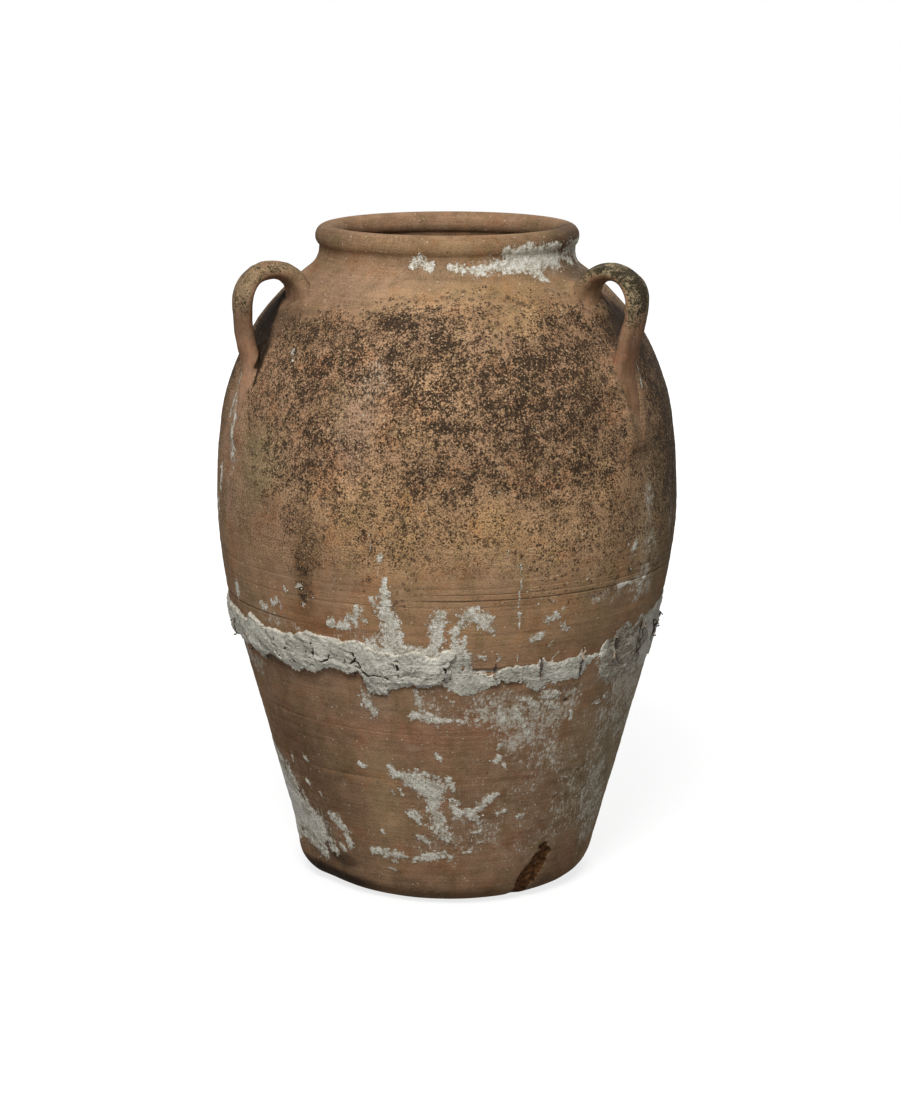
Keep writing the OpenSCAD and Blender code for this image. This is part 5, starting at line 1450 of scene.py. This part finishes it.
def buildCrumbs():
    spots = []
    for startTurn, startHeight, endTurn, endHeight, half in limeStrokes:
        for _ in range(grit["perStroke"] if half > 1.4 else 1):
            t, side = chance.uniform(0, 1), chance.choice([-1, 1])
            away = side * (half * 0.7 + grit["reach"] * chance.uniform(0, 1) ** 2)
            heading = chance.uniform(0, 2 * math.pi)
            height = startHeight + (endHeight - startHeight) * t + away * math.sin(heading)
            reach = np.radians(1) * outerRadius(height * mm) / mm
            turn = startTurn + (endTurn - startTurn) * t + away * math.cos(heading) / reach
            size = grit["smallest"] + (grit["largest"] - grit["smallest"]) * chance.uniform(0, 1) ** 3
            spots.append((turn, height, size, 1.0))
    for startTurn, startHeight, endTurn, endHeight, half in scratches:
        count = round(math.hypot(endHeight - startHeight, 4 * (endTurn - startTurn)) / 1.1)
        for i in range(count + 1):
            t = i / count
            spots.append((startTurn + (endTurn - startTurn) * t + chance.uniform(-0.05, 0.05),
                          startHeight + (endHeight - startHeight) * t, half * chance.uniform(0.7, 1.1), 1.8))
    spots += [(turn, height, size, 1.0) for turn, height, size in singleCrumbs]
    table = np.array([spot for spot in spots if 6 < spot[1] < 672])
    azimuth, z = table[:, 0], table[:, 1] * mm
    above = (z > jar["breakHeight"]) * 1.0
    points = onSkin(azimuth, z, skinRelief(azimuth, z, above) + 0.1 * mm)
    piece = spotsObject("limeCrumbs", points)
    across, up = outwards(z)
    storeValues(piece, "turn", np.radians(azimuth - 90))
    storeValues(piece, "tilt", -np.arctan2(up, across))
    storeValues(piece, "size", table[:, 2] * mm)
    storeValues(piece, "long", table[:, 3])
    sizes = {"Flatness": 0.55, "Roughness": 0.55, "Seed": grit["seed"]}
    tree, given, result = newGeometryTree("scatterCrumbs", sizes)
    ball = put(tree, "GeometryNodeMeshIcoSphere", {"Radius": 1.0, "Subdivisions": 2})
    size = stored(tree, "size")
    stand = put(tree, "FunctionNodeEulerToRotation", {0: vector(tree, 0.0, stored(tree, "tilt"), stored(tree, "turn"))})
    copies = put(tree, "GeometryNodeInstanceOnPoints", {
        "Points": given["Geometry"], "Instance": ball.outputs["Mesh"], "Rotation": stand.outputs[0],
        "Scale": vector(tree, calc(tree, "MULTIPLY", size, given["Flatness"]), size,
                        calc(tree, "MULTIPLY", size, stored(tree, "long")))})
    loose = put(tree, "GeometryNodeRealizeInstances", {"Geometry": copies.outputs["Instances"]})
    place = put(tree, "GeometryNodeInputPosition").outputs[0]
    waves = put(tree, "ShaderNodeTexNoise", {"Vector": place, "W": given["Seed"], "Scale": 700.0, "Detail": 1.0},
                noise_dimensions="4D")
    centred = put(tree, "ShaderNodeVectorMath", {0: waves.outputs["Color"], 1: (0.5, 0.5, 0.5)},
                  operation="SUBTRACT").outputs[0]
    push = calc(tree, "MULTIPLY", calc(tree, "MULTIPLY", stored(tree, "size"), given["Roughness"]), 4.0)
    offset = put(tree, "ShaderNodeVectorMath", {0: centred, "Scale": push}, operation="SCALE").outputs[0]
    bent = put(tree, "GeometryNodeSetPosition", {"Geometry": loose.outputs["Geometry"], "Offset": offset})
    realised(tree, bent.outputs["Geometry"], crumbSkin, result)
    applyTree(piece, tree, sizes)


def crumbMaterial(name):
    material, tree, surface, place = startMaterial(name, 0.92)
    tone = noiseAt(tree, place, 300, 3, 0.6)
    colour = mixColour(tree, remap(tree, tone, 0.36, 0.64), toLinear(160, 152, 134), toLinear(222, 219, 206))
    finishMaterial(tree, surface, colour, tone, 0.4, 0.3 * mm)
    return material


crumbSkin = crumbMaterial("driedCrumbs")
buildCrumbs()


# Mortar in the break, between the two halves, stays as the frame has it
nodes["joint_bed"].data.materials.clear()
nodes["joint_bed"].data.materials.append(mortarSkin)


# Studio
studio = {
    "cameraAt": (2.75 * mm, -2786.7 * mm, 994.35 * mm),
    "cameraTilt": 77,
    "lens": 84.477,
    "floorSize": 14.0,
    "aim": (0, 0, 0.36),
    "key": ((-0.42, -2.45, 2.95), 1.5, 112.0),
    "back": ((0.9, 2.6, 2.6), 1.8, 55.0),
    "world": 0.24,
    "floorBase": 0.3,
    "floorNear": 0.78,        # glow of the floor for the camera, beside the jar and far from it
    "floorFar": 0.98,
}


def addLight(name, at, size, power):
    lamp = bpy.data.lights.new(name, "AREA")
    lamp.shape, lamp.size, lamp.energy = "DISK", size, power
    light = bpy.data.objects.new(name, lamp)
    light.location = at
    light.rotation_euler = (Vector(studio["aim"]) - Vector(at)).to_track_quat("-Z", "Y").to_euler()
    bpy.context.scene.collection.objects.link(light)


def buildStudio():
    scene = bpy.context.scene
    lens = bpy.data.cameras.new("camera")
    lens.lens = studio["lens"]
    camera = bpy.data.objects.new("camera", lens)
    camera.location = studio["cameraAt"]
    camera.rotation_euler = (math.radians(studio["cameraTilt"]), 0, 0)
    scene.collection.objects.link(camera)
    scene.camera = camera
    scene.view_settings.view_transform = "Standard"

    half = studio["floorSize"] / 2
    mesh = bpy.data.meshes.new("floor")
    mesh.from_pydata([(-half, -half, 0), (half, -half, 0), (half, half, 0), (-half, half, 0)], [], [(0, 1, 2, 3)])
    floor = bpy.data.objects.new("floor", mesh)
    scene.collection.objects.link(floor)
    material, tree, surface, place = startMaterial("paleFloor", 0.9)
    base = studio["floorBase"]
    surface.inputs["Base Color"].default_value = (base, base, base, 1)
    surface.inputs["Specular IOR Level"].default_value = 0
    path = put(tree, "ShaderNodeLightPath").outputs
    seen = calc(tree, "MAXIMUM", path["Is Camera Ray"], path["Is Glossy Ray"])
    away = put(tree, "ShaderNodeVectorMath", {0: place}, operation="LENGTH").outputs["Value"]
    glow = remap(tree, away, 0.5, 2.4, studio["floorNear"], studio["floorFar"])
    surface.inputs["Emission Color"].default_value = (1, 1, 1, 1)
    tree.links.new(calc(tree, "MULTIPLY", seen, glow), surface.inputs["Emission Strength"])
    mesh.materials.append(material)

    world = bpy.data.worlds.new("studio")
    scene.world = world
    world.use_nodes = True
    tree = world.node_tree
    path = put(tree, "ShaderNodeLightPath").outputs
    seen = calc(tree, "MAXIMUM", path["Is Camera Ray"], path["Is Glossy Ray"])
    tree.links.new(remap(tree, seen, 0, 1, studio["world"], 1), tree.nodes["Background"].inputs["Strength"])
    tree.nodes["Background"].inputs["Color"].default_value = (1, 1, 1, 1)
    addLight("keyLight", *studio["key"])
    addLight("backLight", *studio["back"])


buildStudio()
print("studio built")
